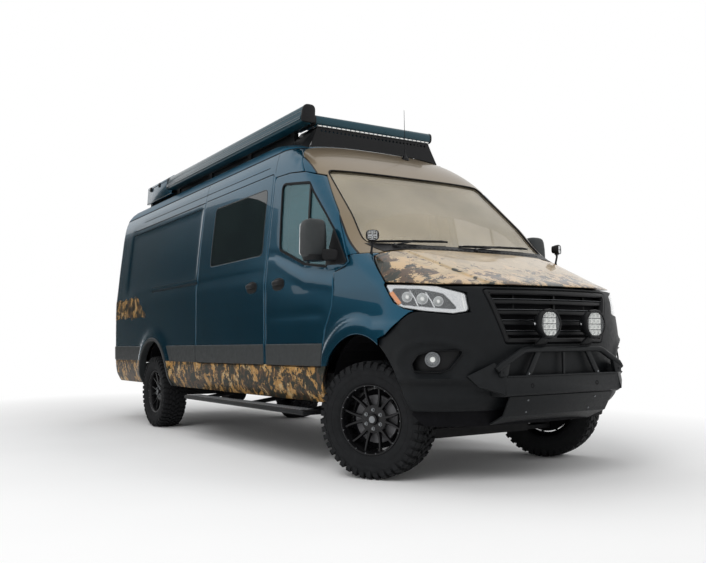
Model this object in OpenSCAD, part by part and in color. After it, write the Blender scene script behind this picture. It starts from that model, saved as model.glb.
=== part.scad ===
// High-roof four-wheel-drive camper van, drawn in millimetres with the ground at z = 0
// Inside the modules x runs forward from the front axle, y to the left and z up

/* [Overall] */
// Distance between the front and rear axles
wheelbase = 4325; // [4200:5:4400]
// Distance between the wheel centres of one axle
track = 1740; // [1720:2:1760]
// Body length behind the rear axle
rear_overhang = 1629; // [1560:1:1700]
// Widest width of the body without mirrors
body_w = 2006; // [1990:2:2030]
// Height of the roof panel above the ground
roof_z = 2775; // [2740:5:2820]

/* [Body] */
// Height of the lower edge of the side walls
sill_z = 470; // [460:2:480]
// Height of the leading edge of the hood
nose_z = 1280; // [1270:2:1290]
// Height of the base of the windscreen
cowl_z = 1600; // [1590:2:1610]
// Height of the top of the windscreen
header_z = 2330; // [2320:2:2340]
// Height of the seam below the roof panel
roof_seam_z = 2580; // [2570:2:2590]
// Foremost point of the nose ahead of the front axle
nose_x = 915; // [900:1:925]
// Windscreen base ahead of the front axle
cowl_x = 80; // [70:1:90]
// Thickness of walls, doors and hood
wall = 70; // [60:1:75]
// Gap between neighbouring panels
panel_gap = 7; // [6.5:0.5:8]
// Clearance where a fixed piece seats on another
seat = 0.3; // [0.2:0.1:0.5]
// Depth of the glass below the outer skin
glass_in = 12; // [10:1:16]
// Thickness of the glass
glass_t = 6; // [5:0.5:8]

/* [Doors] */
// Front edge of the front doors measured from the front axle
door_front_x = -105; // [-115:1:-100]
// Rear edge of the front doors
door_rear_x = -1405; // [-1415:1:-1395]
// Front edge of the sliding door
slider_front_x = -1450; // [-1460:1:-1440]
// Rear edge of the sliding door
slider_rear_x = -3000; // [-3030:5:-2980]
// Lower edge of the side doors
door_low_z = 750; // [740:2:760]
// Upper edge of the front doors
door_top_z = 2350; // [2340:1:2360]
// Upper edge of the sliding door
slider_top_z = 2390; // [2380:1:2400]
// Half width of the rear door opening
rear_door_y = 790; // [780:1:800]
// Lower edge of the rear doors
rear_door_low_z = 705; // [700:1:720]
// Upper edge of the rear doors
rear_door_top_z = 2440; // [2420:5:2460]
// Width of the flange the doors close against
jamb = 24; // [18:1:30]

/* [Wheels] */
// Outer radius of the tyres
tyre_r = 400; // [385:1:405]
// Width of the tyres
tyre_w = 265; // [245:1:275]
// Radius of the rim flange
rim_r = 236; // [228:1:244]
// Number of spoke pairs in a rim
spoke_pairs = 6; // [5:1:7]
// Radius of the wheel arches
arch_r = 492; // [490:1:498]
// Height of the centre of the wheel arches
arch_z = 490; // [485:1:495]
// Distance from the steering axis out to the wheel centre
scrub = 90; // [80:1:95]
// Angle the front wheels stand turned to the left
steer_rest = 26; // [0:1:26]
// Radius of the wheel spindles
spindle_r = 40; // [34:0.5:44]
// Radial running clearance of spindles and pins
running = 0.08; // [0.05:0.01:0.1]
// Radius of the steering pins
pin_r = 16; // [12:0.5:20]

/* [Chassis] */
// Lower face of the frame rails
rail_z = 520; // [510:1:530]
// Height of the frame rails
rail_h = 120; // [110:1:130]
// Centre of the frame rails from the middle
rail_y = 430; // [420:1:434]
// Width of the frame rails
rail_w = 80; // [70:1:84]
// Outer width of the square hitch receiver
hitch_w = 63.5; // [60:0.5:70]
// Inner width of the square hitch receiver
hitch_in = 51; // [50:0.5:52]
// Radius of the hitch pin hole
hitch_pin_r = 8.2; // [8:0.1:8.4]
// Lower face of the hitch receiver
hitch_z = 398; // [380:1:400]
// Distance the receiver stands out behind the body
hitch_out = 70; // [60:1:90]

/* [Front gear] */
// Front face of the steel bumper
bumper_x = 962; // [955:1:975]
// Lower edge of the steel bumper
bumper_low_z = 575; // [565:1:585]
// Upper edge of the steel bumper
bumper_top_z = 697; // [690:1:705]
// Half width of the middle of the bumper
bumper_y = 530; // [510:2:550]
// Half width of the skid plate under the fascia
skid_y = 480; // [440:5:485]
// Top of the hoop above the bumper
hoop_top_z = 872; // [860:1:884]
// Radius of the hoop tube
hoop_r = 24; // [20:0.5:27]
// Radius of the driving lamps
lamp_r = 84; // [78:1:90]
// Sideways place of the driving lamps
lamp_y = 210; // [200:1:220]
// Depth of the driving lamps
lamp_depth = 76; // [66:1:86]

/* [Roof gear] */
// Upper face of the rack rails
rack_z = 2850; // [2844:1:2856]
// Sideways place of the rack rails
rack_y = 640; // [630:1:650]
// Number of rack crossbars
crossbars = 6; // [4:1:8]
// Height of the awning case
awning_h = 150; // [140:1:160]
// Length of the awning case
awning_l = 3340; // [3000:10:3400]

/* [Cab] */
// Width of a front seat
seat_w = 500; // [460:2:540]
// Sideways place of the front seats
seat_y = 430; // [420:1:440]
// Radius of the steering wheel
hand_wheel_r = 190; // [180:1:200]

/* [Hidden] */
body_rear = -(wheelbase + rear_overhang);
half_w = body_w / 2;
hoop_x = bumper_x - 16;
front_most = bumper_x + 2 * hoop_r + lamp_depth / 2;
place_x = -(front_most + body_rear - hitch_out) / 2;
floor_z = rail_z + rail_h + seat;
floor_top = floor_z + 60;
wheel_y = track / 2;
king_y = wheel_y - scrub;
hood_rear_x = cowl_x + 15;

// Body sections from the sill to the roof
// Columns: height, tuck from the widest side, front, bow of the front, power of the bow,
// tuck of the rear, rear corner radius
hood_h = cowl_z - nose_z;
screen_h = header_z - cowl_z;
cap_h = roof_z - header_z;
SECTIONS = [
  [sill_z, 73, nose_x - 115, 480, 2.5, 54, 90],
  [600, 18, nose_x - 30, 560, 2.5, 9, 110],
  [760, 3, nose_x - 5, 590, 2.5, 0, 120],
  [930, 0, nose_x, 610, 2.5, 0, 120],
  [1150, 0, nose_x - 10, 620, 2.4, 0, 120],
  [nose_z, 0, nose_x - 50, 620, 2.4, 0, 120],
  [nose_z + hood_h * 0.25, 1, nose_x - 225, 560, 2.4, 0, 120],
  [nose_z + hood_h * 0.53, 3, nose_x - 445, 480, 2.5, 0, 120],
  [nose_z + hood_h * 0.81, 11, cowl_x + 155, 390, 2.8, 0, 120],
  [cowl_z, 18, cowl_x, 320, 3.2, 0, 120],
  [cowl_z + screen_h * 0.41, 48, cowl_x - 325, 270, 3.4, 0, 120],
  [cowl_z + screen_h * 0.753, 78, cowl_x - 595, 260, 3.4, 0, 120],
  [header_z, 100, cowl_x - 790, 260, 3.3, 0, 120],
  [header_z + cap_h * 0.337, 128, cowl_x - 985, 280, 3.0, 0, 120],
  [header_z + cap_h * 0.607, 168, cowl_x - 1190, 320, 2.7, 9, 140],
  [header_z + cap_h * 0.787, 228, cowl_x - 1410, 360, 2.5, 34, 180],
  [header_z + cap_h * 0.899, 323, cowl_x - 1680, 380, 2.4, 84, 220],
  [header_z + cap_h * 0.966, 463, cowl_x - 2030, 360, 2.3, 174, 240],
  [roof_z, 653, cowl_x - 2480, 300, 2.2, 354, 240]
];

// One section of the body, drawn as a ring of points, set inward by d
function section_ring(q, d, i) = let (
    hw = half_w - q[1] - d,
    xf = q[2] - d,
    xr = body_rear + q[5] + d,
    r = max(q[6] - d, 20),
    z = sill_z + (q[0] - sill_z) * (roof_z - sill_z - d) / (roof_z - sill_z) - (d > 0 && i == 0 ? 2 : 0)
  ) concat(
    [for (a = [-90:15:90]) let (t = sin(a))
      [xf - q[3] * (1 - pow(max(1 - pow(abs(t), q[4]), 0), 1 / q[4])), hw * t, z]],
    [for (a = [0:30:90]) [xr + r - r * sin(a), hw - r + r * cos(a), z]],
    [for (a = [90:-30:0]) [xr + r - r * sin(a), -hw + r - r * cos(a), z]]
  );

// Whole body as a solid, set inward by d
module body_solid(d) {
  rings = [for (i = [0:len(SECTIONS) - 1]) section_ring(SECTIONS[i], d, i)];
  for (i = [0:len(rings) - 2])
    hull() polyhedron(
      points = concat(rings[i], rings[i + 1]),
      faces = [[for (k = [0:len(rings[i]) * 2 - 1]) k]]
    );
}

// Skin of the body between two depths below the outer surface
module skin(d0, d1) {
  difference() {
    body_solid(d0);
    body_solid(d1);
  }
}

// Outline helpers
function unit(v) = v / norm(v);
function inset(p, d) = let (n = len(p)) [for (i = [0:n - 1]) let (
    u = unit(p[i] - p[(i + n - 1) % n]),
    v = unit(p[(i + 1) % n] - p[i]),
    a = [-u[1], u[0]],
    b = [-v[1], v[0]]
  ) p[i] + (a + b) * d / (1 + a * b)];
function rounded(p, r) = let (n = len(p)) [for (i = [0:n - 1], k = [0:3]) let (
    b = p[i],
    a = b + unit(p[(i + n - 1) % n] - b) * r,
    c = b + unit(p[(i + 1) % n] - b) * r,
    t = k / 3
  ) a * (1 - t) * (1 - t) + b * 2 * t * (1 - t) + c * t * t];

// Prism through one side of the van from an outline of x and z points
module side_prism(p, side) {
  rotate([90, 0, 0])
    translate([0, 0, side > 0 ? -1500 : 0])
      linear_extrude(1500) polygon(p);
}
// Prism along the length from an outline of y and z points
module front_prism(p, x0, x1) {
  multmatrix([[0, 0, 1, x0], [1, 0, 0, 0], [0, 1, 0, 0], [0, 0, 0, 1]])
    linear_extrude(x1 - x0) polygon(p);
}
// Block between two corners
module block(a, b) {
  translate(a) cube(b - a);
}
// Cylinder along y between two values
module bar_y(x, z, r, y0, y1) {
  translate([x, y0, z]) rotate([-90, 0, 0]) cylinder(r = r, h = y1 - y0);
}

// Outlines of doors and windows seen from the side, anticlockwise in x and z
FRONT_DOOR = [
  [door_rear_x, door_low_z], [-490, door_low_z], [-462, 905], [-420, 1085], [-330, 1150],
  [-312, 1290], [-312, 1440], [-150, 1474], [door_front_x, 1500], [-165, 1594],
  [-365, 1895], [-700, door_top_z - 105], [-870, door_top_z - 50],
  [-1150, door_top_z - 10], [door_rear_x, door_top_z]
];
FRONT_WINDOW = rounded([
  [-1195, 1705], [-756, 1548], [-410, 1496], [-345, 1760],
  [-480, 1893], [-712, 2108], [-790, 2195], [-1258, 2262]
], 22);
// Plate in the front corner of the door window that carries the mirror
SAIL = [[-418, 1500], [-150, 1486], [-122, 1504], [-340, 1772]];
SLIDER = rounded([
  [slider_rear_x, door_low_z], [slider_front_x, door_low_z],
  [slider_front_x, slider_top_z], [slider_rear_x, slider_top_z]
], 40);
SIDE_WINDOW = rounded([
  [slider_rear_x + 300, 1688], [slider_front_x - 75, 1688],
  [slider_front_x - 90, slider_top_z - 115], [slider_rear_x + 310, slider_top_z - 115]
], 60);
SCREEN = rounded([[-875, 1628], [875, 1628], [785, header_z - 25], [-785, header_z - 25]], 60);
// Windscreen pillars and front cap of the roof
PILLAR = [
  [hood_rear_x - panel_gap, 1548], [hood_rear_x - panel_gap, 2950], [-1300, 2950],
  [-1290, 2780], [-1165, roof_seam_z], [-1022, 2467], [-850, door_top_z - 75], [-600, 2100],
  [-300, 1700], [-175, 1548]
];
REAR_DOOR = [
  [panel_gap, rear_door_low_z], [rear_door_y, rear_door_low_z],
  [rear_door_y, rear_door_top_z], [panel_gap, rear_door_top_z]
];
REAR_WINDOW = rounded([
  [130, 1680], [rear_door_y - 110, 1680], [rear_door_y - 130, 2260], [130, 2260]
], 60);
HOOD = [
  [hood_rear_x, 1530], [340, 1322], [660, 1292], [nose_x + 80, nose_z + 2],
  [nose_x + 80, 1750], [hood_rear_x, 1750]
];
GRILLE = [[-445, 905], [445, 905], [575, nose_z - 22], [-575, nose_z - 22]];
// Headlamp outline in the direction of the corner, distance along the corner and height
HEADLAMP = [
  [-219, 1184], [-144, 1142], [-5, 1116], [176, 1097], [269, 1112], [246, 1230],
  [70, 1281], [-297, 1308]
];
corner_angle = 35.2;
// Front lamp place: x, y, z
FOG = [690, 872, 812];
fog_r = 62;

module headlamp_prism(side, d) {
  mirror([0, side > 0 ? 1 : 0, 0])
    rotate([0, 0, corner_angle]) rotate([90, 0, 0])
      linear_extrude(1500) polygon(inset(HEADLAMP, d));
}
module mirrored_y(side) {
  if (side > 0) children();
  else mirror([0, 1, 0]) children();
}
module arch(x, r) {
  bar_y(x, arch_z, r, -1200, 1200);
  translate([x - r, -1200, 0]) cube([2 * r, 2400, arch_z]);
}

// Wall of one side with the rear corner
module body_side(side) {
  wall_out = [
    [body_rear - 60, sill_z - 20], [-560, sill_z - 20], [-560, 790], [-700, 790],
    [-700, roof_seam_z], [body_rear - 60, roof_seam_z]
  ];
  difference() {
    intersection() {
      skin(0, wall);
      side_prism(wall_out, side);
    }
    side_prism(inset(FRONT_DOOR, -panel_gap), side);
    side_prism(inset(PILLAR, -seat), side);
    if (side < 0) side_prism(inset(SLIDER, -panel_gap), side);
    else side_prism(SIDE_WINDOW, side);
    arch(-wheelbase, arch_r);
    front_prism(inset(REAR_DOOR, -panel_gap), body_rear - 60, body_rear + 300);
    front_prism([for (p = inset(REAR_DOOR, -panel_gap)) [-p[0], p[1]]], body_rear - 60, body_rear + 300);
    tail_region(side, -seat);
  }
  // Flanges behind the door edges
  difference() {
    union() {
      intersection() {
        skin(wall + seat, wall + 20);
        door_rings(side, jamb);
      }
      intersection() {
        skin(wall - 5, wall + 20);
        door_rings(side, -panel_gap);
      }
    }
    block([body_rear, side > 0 ? -1500 : 0, 0], [200, side > 0 ? 0 : 1500, 3000]);
    arch(-wheelbase, arch_r);
    side_prism(inset(PILLAR, -seat), side);
  }
}
// Rings around the door outlines of one side, reaching d inside the outlines
module door_rings(side, d) {
  difference() {
    side_prism(inset(FRONT_DOOR, -panel_gap - jamb), side);
    side_prism(inset(FRONT_DOOR, d), side);
    block([-880, -1500, 0], [400, 1500, 2600]);
  }
  if (side < 0) difference() {
    side_prism(inset(SLIDER, -panel_gap - jamb), side);
    side_prism(inset(SLIDER, d), side);
    block([door_rear_x - 24, -1500, door_low_z + jamb], [0, 1500, door_top_z - jamb]);
  }
  mirrored_y(side) difference() {
    block([body_rear, 0, rear_door_low_z - jamb - panel_gap],
      [body_rear + wall + 25, rear_door_y + jamb + panel_gap, rear_door_top_z + jamb + panel_gap]);
    block([body_rear - 60, -1, rear_door_low_z + d],
      [body_rear + 300, rear_door_y - d, rear_door_top_z - d]);
    block([body_rear - 60, rear_door_y - 60, rear_door_low_z - panel_gap - 2],
      [body_rear + 300, rear_door_y + panel_gap + 2, rear_door_top_z + panel_gap + 2]);
  }
}
module body_side_left() color([0.05, 0.22, 0.27]) body_side(1);
module body_side_right() color([0.05, 0.22, 0.27]) body_side(-1);

module tail_region(side, d) {
  mirrored_y(side)
    block([body_rear - 20, rear_door_y + 40 + d, 1050 + d], [body_rear + 90 - d, half_w + 20, 1750 - d]);
}
module tail_lamps() color([0.6, 0.05, 0.05]) intersection() {
  skin(0, wall / 2);
  union() {
    tail_region(1, 0);
    tail_region(-1, 0);
  }
}

module roof_panel() color([0.05, 0.22, 0.27]) difference() {
  intersection() {
    skin(0, wall);
    block([body_rear - 60, -1500, roof_seam_z + seat], [nose_x, 1500, 3200]);
  }
  side_prism(inset(PILLAR, -seat), 1);
  side_prism(inset(PILLAR, -seat), -1);
}

module windshield_frame() color([0.45, 0.37, 0.25]) difference() {
  intersection() {
    skin(0, wall);
    union() {
      side_prism(PILLAR, 1);
      side_prism(PILLAR, -1);
    }
  }
  side_prism(inset(FRONT_DOOR, -panel_gap), 1);
  side_prism(inset(FRONT_DOOR, -panel_gap), -1);
  front_prism(SCREEN, -1000, 400);
}

module windshield() color([0.2, 0.25, 0.27, 0.5]) intersection() {
  skin(glass_in, glass_in + glass_t);
  front_prism(inset(SCREEN, seat), -1000, 400);
}

module front_fenders() color([0.05, 0.22, 0.27]) {
  fender_out = [
    [-560 + seat, sill_z - 20], [200, sill_z - 20], [268, 950], [350, 972], [540, 1108],
    [760, 1200], [760, 1420], [hood_rear_x, 1548 - seat], [-560 + seat, 1548 - seat]
  ];
  for (side = [-1, 1]) difference() {
    intersection() {
      skin(0, wall);
      side_prism(fender_out, side);
    }
    side_prism(inset(FRONT_DOOR, -panel_gap), side);
    side_prism(inset(HOOD, -panel_gap), side);
    headlamp_prism(side, -seat);
    front_prism(GRILLE, 300, nose_x + 60);
    arch(0, arch_r);
    block([-1000, -400, 0], [1000, 400, 3000]);
  }
  // Flanges the hood closes on
  for (side = [-1, 1]) difference() {
    intersection() {
      skin(wall / 2 + seat, wall / 2 + 18);
      side_prism(inset(HOOD, -panel_gap - 12), side);
      block([hood_rear_x + 30, -1500, 1200], [640, 1500, 1600]);
    }
    side_prism(inset(HOOD, jamb), side);
    headlamp_prism(side, -seat);
    block([-1000, -400, 0], [1000, 400, 3000]);
  }
}

module front_fascia() color([0.12, 0.12, 0.13]) {
  fascia_out = [
    [268 + seat, sill_z - 20], [nose_x + 60, sill_z - 20], [nose_x + 60, nose_z - panel_gap],
    [760 + seat, nose_z - panel_gap], [760 + seat, 1200 - seat], [540 + seat, 1108 - seat],
    [350 + seat, 972 - seat], [268 + seat, 950]
  ];
  difference() {
    intersection() {
      skin(0, wall);
      union() {
        side_prism(fascia_out, 1);
        side_prism(fascia_out, -1);
      }
    }
    side_prism(inset(HOOD, -panel_gap), 1);
    side_prism(inset(HOOD, -panel_gap), -1);
    headlamp_prism(1, -seat);
    headlamp_prism(-1, -seat);
    front_prism(GRILLE, 300, nose_x + 60);
    arch(0, arch_r);
    for (side = [-1, 1]) fog_bore(side, fog_r + seat);
  }
}
module fog_bore(side, r) {
  mirrored_y(side) translate([FOG[0] - 250, FOG[1] - 250, FOG[2]])
    rotate([0, 0, 45]) rotate([0, 90, 0]) cylinder(r = r, h = 600, $fn = 24);
}

// Frame and slats of the grille, thin behind the outer surface
module grille() color([0.03, 0.03, 0.03]) intersection() {
  skin(6, wall - 20);
  union() {
    difference() {
      front_prism(inset(GRILLE, seat), 300, nose_x + 60);
      front_prism(inset(GRILLE, 34), 300, nose_x + 60);
    }
    for (k = [0:3]) block([300, -560, 966 + k * 68], [nose_x + 60, 560, 992 + k * 68]);
    block([300, -12, 910], [nose_x + 60, 12, nose_z - 30]);
  }
  front_prism(inset(GRILLE, seat), 300, nose_x + 60);
}

module front_lamps() color([0.8, 0.82, 0.85]) {
  intersection() {
    skin(2, wall - 10);
    union() {
      headlamp_prism(1, 0);
      headlamp_prism(-1, 0);
    }
  }
  intersection() {
    skin(24, wall);
    union() {
      fog_bore(1, fog_r);
      fog_bore(-1, fog_r);
    }
  }
}

module hood() color([0.55, 0.45, 0.3]) intersection() {
  skin(0, wall / 2);
  union() {
    side_prism(HOOD, 1);
    side_prism(HOOD, -1);
  }
}

module front_door(side) color([0.05, 0.22, 0.27]) difference() {
  intersection() {
    skin(0, wall);
    side_prism(FRONT_DOOR, side);
  }
  side_prism(FRONT_WINDOW, side);
  front_prism(inset(SCREEN, -panel_gap), -1000, 400);
}
module front_door_left() front_door(1);
module front_door_right() front_door(-1);
module door_glass(side) color([0.1, 0.12, 0.13, 0.5]) intersection() {
  skin(glass_in, glass_in + glass_t);
  side_prism(inset(FRONT_WINDOW, seat), side);
}
module door_glass_left() door_glass(1);
module door_glass_right() door_glass(-1);

module sliding_door() color([0.05, 0.22, 0.27]) difference() {
  intersection() {
    skin(0, wall);
    side_prism(SLIDER, -1);
  }
  side_prism(SIDE_WINDOW, -1);
}
module side_glass() color([0.05, 0.06, 0.07]) intersection() {
  skin(glass_in, glass_in + glass_t);
  union() {
    side_prism(inset(SIDE_WINDOW, seat), 1);
    side_prism(inset(SIDE_WINDOW, seat), -1);
  }
}

module rear_door(side) color([0.05, 0.22, 0.27]) mirrored_y(side) difference() {
  intersection() {
    skin(0, wall);
    front_prism(REAR_DOOR, body_rear - 60, body_rear + 300);
  }
  front_prism(REAR_WINDOW, body_rear - 60, body_rear + 300);
}
module rear_door_left() rear_door(1);
module rear_door_right() rear_door(-1);
module rear_glass(side) color([0.05, 0.06, 0.07]) mirrored_y(side) intersection() {
  skin(glass_in, glass_in + glass_t);
  front_prism(inset(REAR_WINDOW, seat), body_rear - 60, body_rear + 300);
}
module rear_glass_left() rear_glass(1);
module rear_glass_right() rear_glass(-1);

// Door mirrors: plate on the door, arm and upright housing
module door_mirror(side) color([0.1, 0.1, 0.11]) {
  intersection() {
    skin(-9, -seat);
    side_prism(SAIL, side);
  }
  difference() {
    mirrored_y(side) {
      hull() {
        translate([-425, 1076, 1580]) cylinder(r = 26, h = 250);
        translate([-352, 1076, 1580]) cylinder(r = 26, h = 250);
        translate([-420, 1158, 1590]) cylinder(r = 32, h = 222);
        translate([-365, 1158, 1590]) cylinder(r = 32, h = 222);
      }
      block([-345, 960, 1525], [-255, 1085, 1560]);
      hull() {
        block([-345, 1040, 1525], [-255, 1085, 1560]);
        block([-420, 1060, 1540], [-330, 1120, 1585]);
      }
    }
    body_solid(-8);
  }
}
module mirror_left() door_mirror(1);
module mirror_right() door_mirror(-1);

// Floor, and the front bulkhead that stands on it
module floor_pan() color([0.1, 0.1, 0.1]) {
  difference() {
    intersection() {
      body_solid(wall + 20 + seat);
      block([body_rear, -1500, floor_z], [-60, 1500, floor_top]);
    }
    for (x = [0, -wheelbase], side = [-1, 1]) housing_cut(x, side, arch_r + 16 + seat, housing_y - seat);
  }
  difference() {
    block([-100, -880, floor_top + seat], [-60, 880, 1480]);
    for (side = [-1, 1]) housing_cut(0, side, arch_r + 16 + seat, housing_y - seat);
  }
}
module housing_cut(x, side, r, y) {
  mirrored_y(side) bar_y(x, arch_z, r, y, 1000);
}
// Covers over the wheels, open below and to the outside
housing_y = 496;
module wheel_housings() color([0.08, 0.08, 0.08])
  for (x = [0, -wheelbase], side = [-1, 1]) intersection() {
    body_solid(wall + 20 + seat);
    difference() {
      housing_cut(x, side, arch_r + 16, housing_y);
      housing_cut(x, side, arch_r + 8, housing_y + 8);
      block([x - 600, -1500, -100], [x + 600, 1500, floor_z]);
    }
  }

// Ladder frame: rails, crossmembers between them and the hitch under the rear one
module chassis_frame() color([0.06, 0.06, 0.06]) {
  inner_y = rail_y - rail_w / 2 - seat;
  for (side = [-1, 1])
    block([body_rear + 140, side * rail_y - rail_w / 2, rail_z], [700, side * rail_y + rail_w / 2, rail_z + rail_h]);
  for (x = [560, -900, -2000, -3100, -5000, body_rear + 180])
    block([x - 40, -inner_y, rail_z + 20], [x + 40, inner_y, rail_z + rail_h - 10]);
  difference() {
    union() {
      for (side = [-1, 1])
        block([body_rear + 150, side * rail_y - 20, hitch_z], [body_rear + 220, side * rail_y + 20, rail_z - seat]);
      block([body_rear + 150, -rail_y - 20, hitch_z], [body_rear + 220, rail_y + 20, hitch_z + hitch_w]);
      block([body_rear - hitch_out, -hitch_w / 2, hitch_z], [body_rear + 160, hitch_w / 2, hitch_z + hitch_w]);
    }
    block([body_rear - hitch_out - 1, -hitch_in / 2, hitch_z + (hitch_w - hitch_in) / 2],
      [body_rear + 140, hitch_in / 2, hitch_z + (hitch_w + hitch_in) / 2]);
    bar_y(body_rear - hitch_out + 32, hitch_z + hitch_w / 2, hitch_pin_r, -60, 60);
  }
}

module engine() color([0.2, 0.2, 0.21])
  block([140, -270, rail_z + rail_h - 10 + seat], [620, 270, 1150]);

// Front subframe with the wishbones that carry the knuckles
module front_axle() color([0.08, 0.08, 0.08]) {
  tower_y = rail_y + rail_w / 2 + seat;
  difference() {
    union() {
      block([-90, -tower_y - 45, 235], [90, tower_y + 45, 300]);
      for (side = [-1, 1]) mirrored_y(side) {
        block([-60, tower_y, 235], [60, tower_y + 45, 580]);
        for (z = [235, 545]) {
          block([-45, tower_y, z], [45, king_y, z + 30]);
          translate([0, king_y, z]) cylinder(r = 45, h = 30);
        }
      }
    }
    for (side = [-1, 1])
      translate([0, side * king_y, 200]) cylinder(r = pin_r + running, h = 500);
  }
}

// Turns a front wheel and its carrier about the steering pin
module steered(side) {
  translate([0, side * king_y, 0]) rotate([0, 0, steer_rest]) translate([0, -side * king_y, 0]) children();
}
module knuckle(side) color([0.25, 0.25, 0.26]) steered(side) mirrored_y(side) {
  translate([0, king_y, 240]) cylinder(r = pin_r, h = 330);
  block([-40, king_y - 32, 270], [40, king_y + 30, 540]);
  bar_y(0, tyre_r, 120, king_y + 20, king_y + 32);
  bar_y(0, tyre_r, spindle_r, king_y, wheel_y + 62);
}
module knuckle_left() knuckle(1);
module knuckle_right() knuckle(-1);

module rear_axle() color([0.1, 0.1, 0.1]) {
  translate([-wheelbase, 0, tyre_r]) {
    bar_y(0, 0, 55, -wheel_y + 60, wheel_y - 60);
    bar_y(0, 0, spindle_r, -wheel_y - 62, wheel_y + 62);
    bar_y(0, 0, 150, -110, 110);
    for (side = [-1, 1]) {
      rotate([90, 0, 0]) translate([0, 0, side * rail_y - 35]) linear_extrude(70) polygon([
        [-650, rail_z - tyre_r - seat], [-650, rail_z - tyre_r - 30], [-60, 40], [60, 40],
        [650, rail_z - tyre_r - 30], [650, rail_z - tyre_r - seat], [600, rail_z - tyre_r - seat],
        [60, 72], [-60, 72], [-600, rail_z - tyre_r - seat]
      ]);
    }
  }
}

// Wheels: outboard face toward +y for the left side
module rim(x, side) color([0.04, 0.04, 0.045])
  translate([x, side * wheel_y, tyre_r]) mirrored_y(side) difference() {
    rotate([-90, 0, 0]) rotate_extrude() polygon([
      [spindle_r + running, 20], [105, 20], [120, 44], [190, 66], [205, 60], [205, -112],
      [rim_r, -112], [rim_r, -106], [rim_r - 14, -104], [rim_r - 14, 104], [rim_r, 106],
      [rim_r, 114], [212, 114], [205, 96], [120, 76], [105, 58], [spindle_r + running, 58]
    ]);
    for (k = [0:spoke_pairs - 1]) rotate([-90, 0, 0]) rotate([0, 0, k * 360 / spoke_pairs]) {
      linear_extrude(150) polygon([[112, -8], [196, -38], [201, 0], [196, 38], [112, 8]]);
      rotate([0, 0, 180 / spoke_pairs])
        linear_extrude(150) polygon([[112, -28], [196, -46], [201, 0], [196, 46], [112, 28]]);
    }
  }
module tyre(x, side) color([0.03, 0.03, 0.03])
  translate([x, side * wheel_y, tyre_r]) rotate([-90, 0, 0]) rotate_extrude() polygon(concat(
    [for (p = TYRE) [p[0], p[1]]],
    [for (i = [len(TYRE) - 1:-1:0]) [TYRE[i][0], -TYRE[i][1]]],
    [for (p = TYRE_IN) [p[0], -p[1]]],
    [for (i = [len(TYRE_IN) - 1:-1:0]) [TYRE_IN[i][0], TYRE_IN[i][1]]]
  ));
// Half profile of the tyre from bead to tread, then its inner face: radius and side distance
tyre_hw = tyre_w / 2;
TYRE = [
  [rim_r - 14 + seat, 104], [rim_r + 2, 105.7], [rim_r + 20, tyre_hw - 12],
  [(rim_r + tyre_r) / 2, tyre_hw], [tyre_r - 34, tyre_hw - 3], [tyre_r - 10, tyre_hw - 14],
  [tyre_r, tyre_hw - 32]
];
TYRE_IN = [[rim_r - 14 + seat, 84], [rim_r + 20, tyre_hw - 30], [tyre_r - 40, tyre_hw - 22], [tyre_r - 24, tyre_hw - 45]];
module rim_front_left() steered(1) rim(0, 1);
module rim_front_right() steered(-1) rim(0, -1);
module rim_rear_left() rim(-wheelbase, 1);
module rim_rear_right() rim(-wheelbase, -1);
module tyre_front_left() steered(1) tyre(0, 1);
module tyre_front_right() steered(-1) tyre(0, -1);
module tyre_rear_left() tyre(-wheelbase, 1);
module tyre_rear_right() tyre(-wheelbase, -1);

// Corners of a bumper wing
WING = [
  [bumper_x - 5, bumper_y - 18, bumper_top_z + 3], [bumper_x - 7, bumper_y + 15, bumper_low_z + 21],
  [bumper_x - 32, bumper_y, bumper_low_z + 2], [bumper_x - 136, bumper_y + 138, bumper_low_z + 65],
  [bumper_x - 146, bumper_y + 186, bumper_top_z + 11], [bumper_x - 64, bumper_y + 10, bumper_top_z + 93],
  [bumper_x - 192, bumper_y + 160, bumper_top_z + 3], [bumper_x - 172, bumper_y + 110, bumper_low_z + 65],
  [bumper_x - 142, bumper_y - 10, bumper_low_z + 15], [bumper_x - 150, bumper_y - 10, bumper_top_z + 83]
];
// Wing of one side, grown about its middle by a share
module wing(side, grow) {
  c = [bumper_x - 90, bumper_y + 60, (bumper_low_z + bumper_top_z) / 2];
  mirrored_y(side) hull() polyhedron(
    points = [for (p = WING) c + (p - c) * (1 + grow)],
    faces = [[for (k = [0:len(WING) - 1]) k]]
  );
}
module steel_bumper() color([0.05, 0.05, 0.05]) difference() {
  union() {
    block([bumper_x - 132, -bumper_y, bumper_low_z], [bumper_x, bumper_y, bumper_top_z]);
    wing(1, 0);
    wing(-1, 0);
  }
  body_solid(-seat);
}
module bumper_hoop() color([0.05, 0.05, 0.05]) {
  bend_z = hoop_top_z - hoop_r;
  path = [[-bumper_y - 30, bend_z - 96], [-360, bend_z], [360, bend_z], [bumper_y + 30, bend_z - 96]];
  difference() {
    union() {
      for (i = [0:2]) tube_yz(hoop_x, path[i], path[i + 1]);
      for (i = [1, 2]) translate([hoop_x, path[i][0], path[i][1]]) sphere(r = hoop_r + 1);
      for (side = [-1, 1]) mirrored_y(side)
        rotate([90, 0, 90]) translate([0, 0, hoop_x - 9]) linear_extrude(18) polygon([
          [205, bend_z], [250, bend_z], [345, bumper_top_z + seat], [300, bumper_top_z + seat]
        ]);
    }
    for (side = [-1, 1]) wing(side, 0.015);
    block([0, -900, 0], [2000, 900, bumper_top_z + seat]);
  }
}
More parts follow.
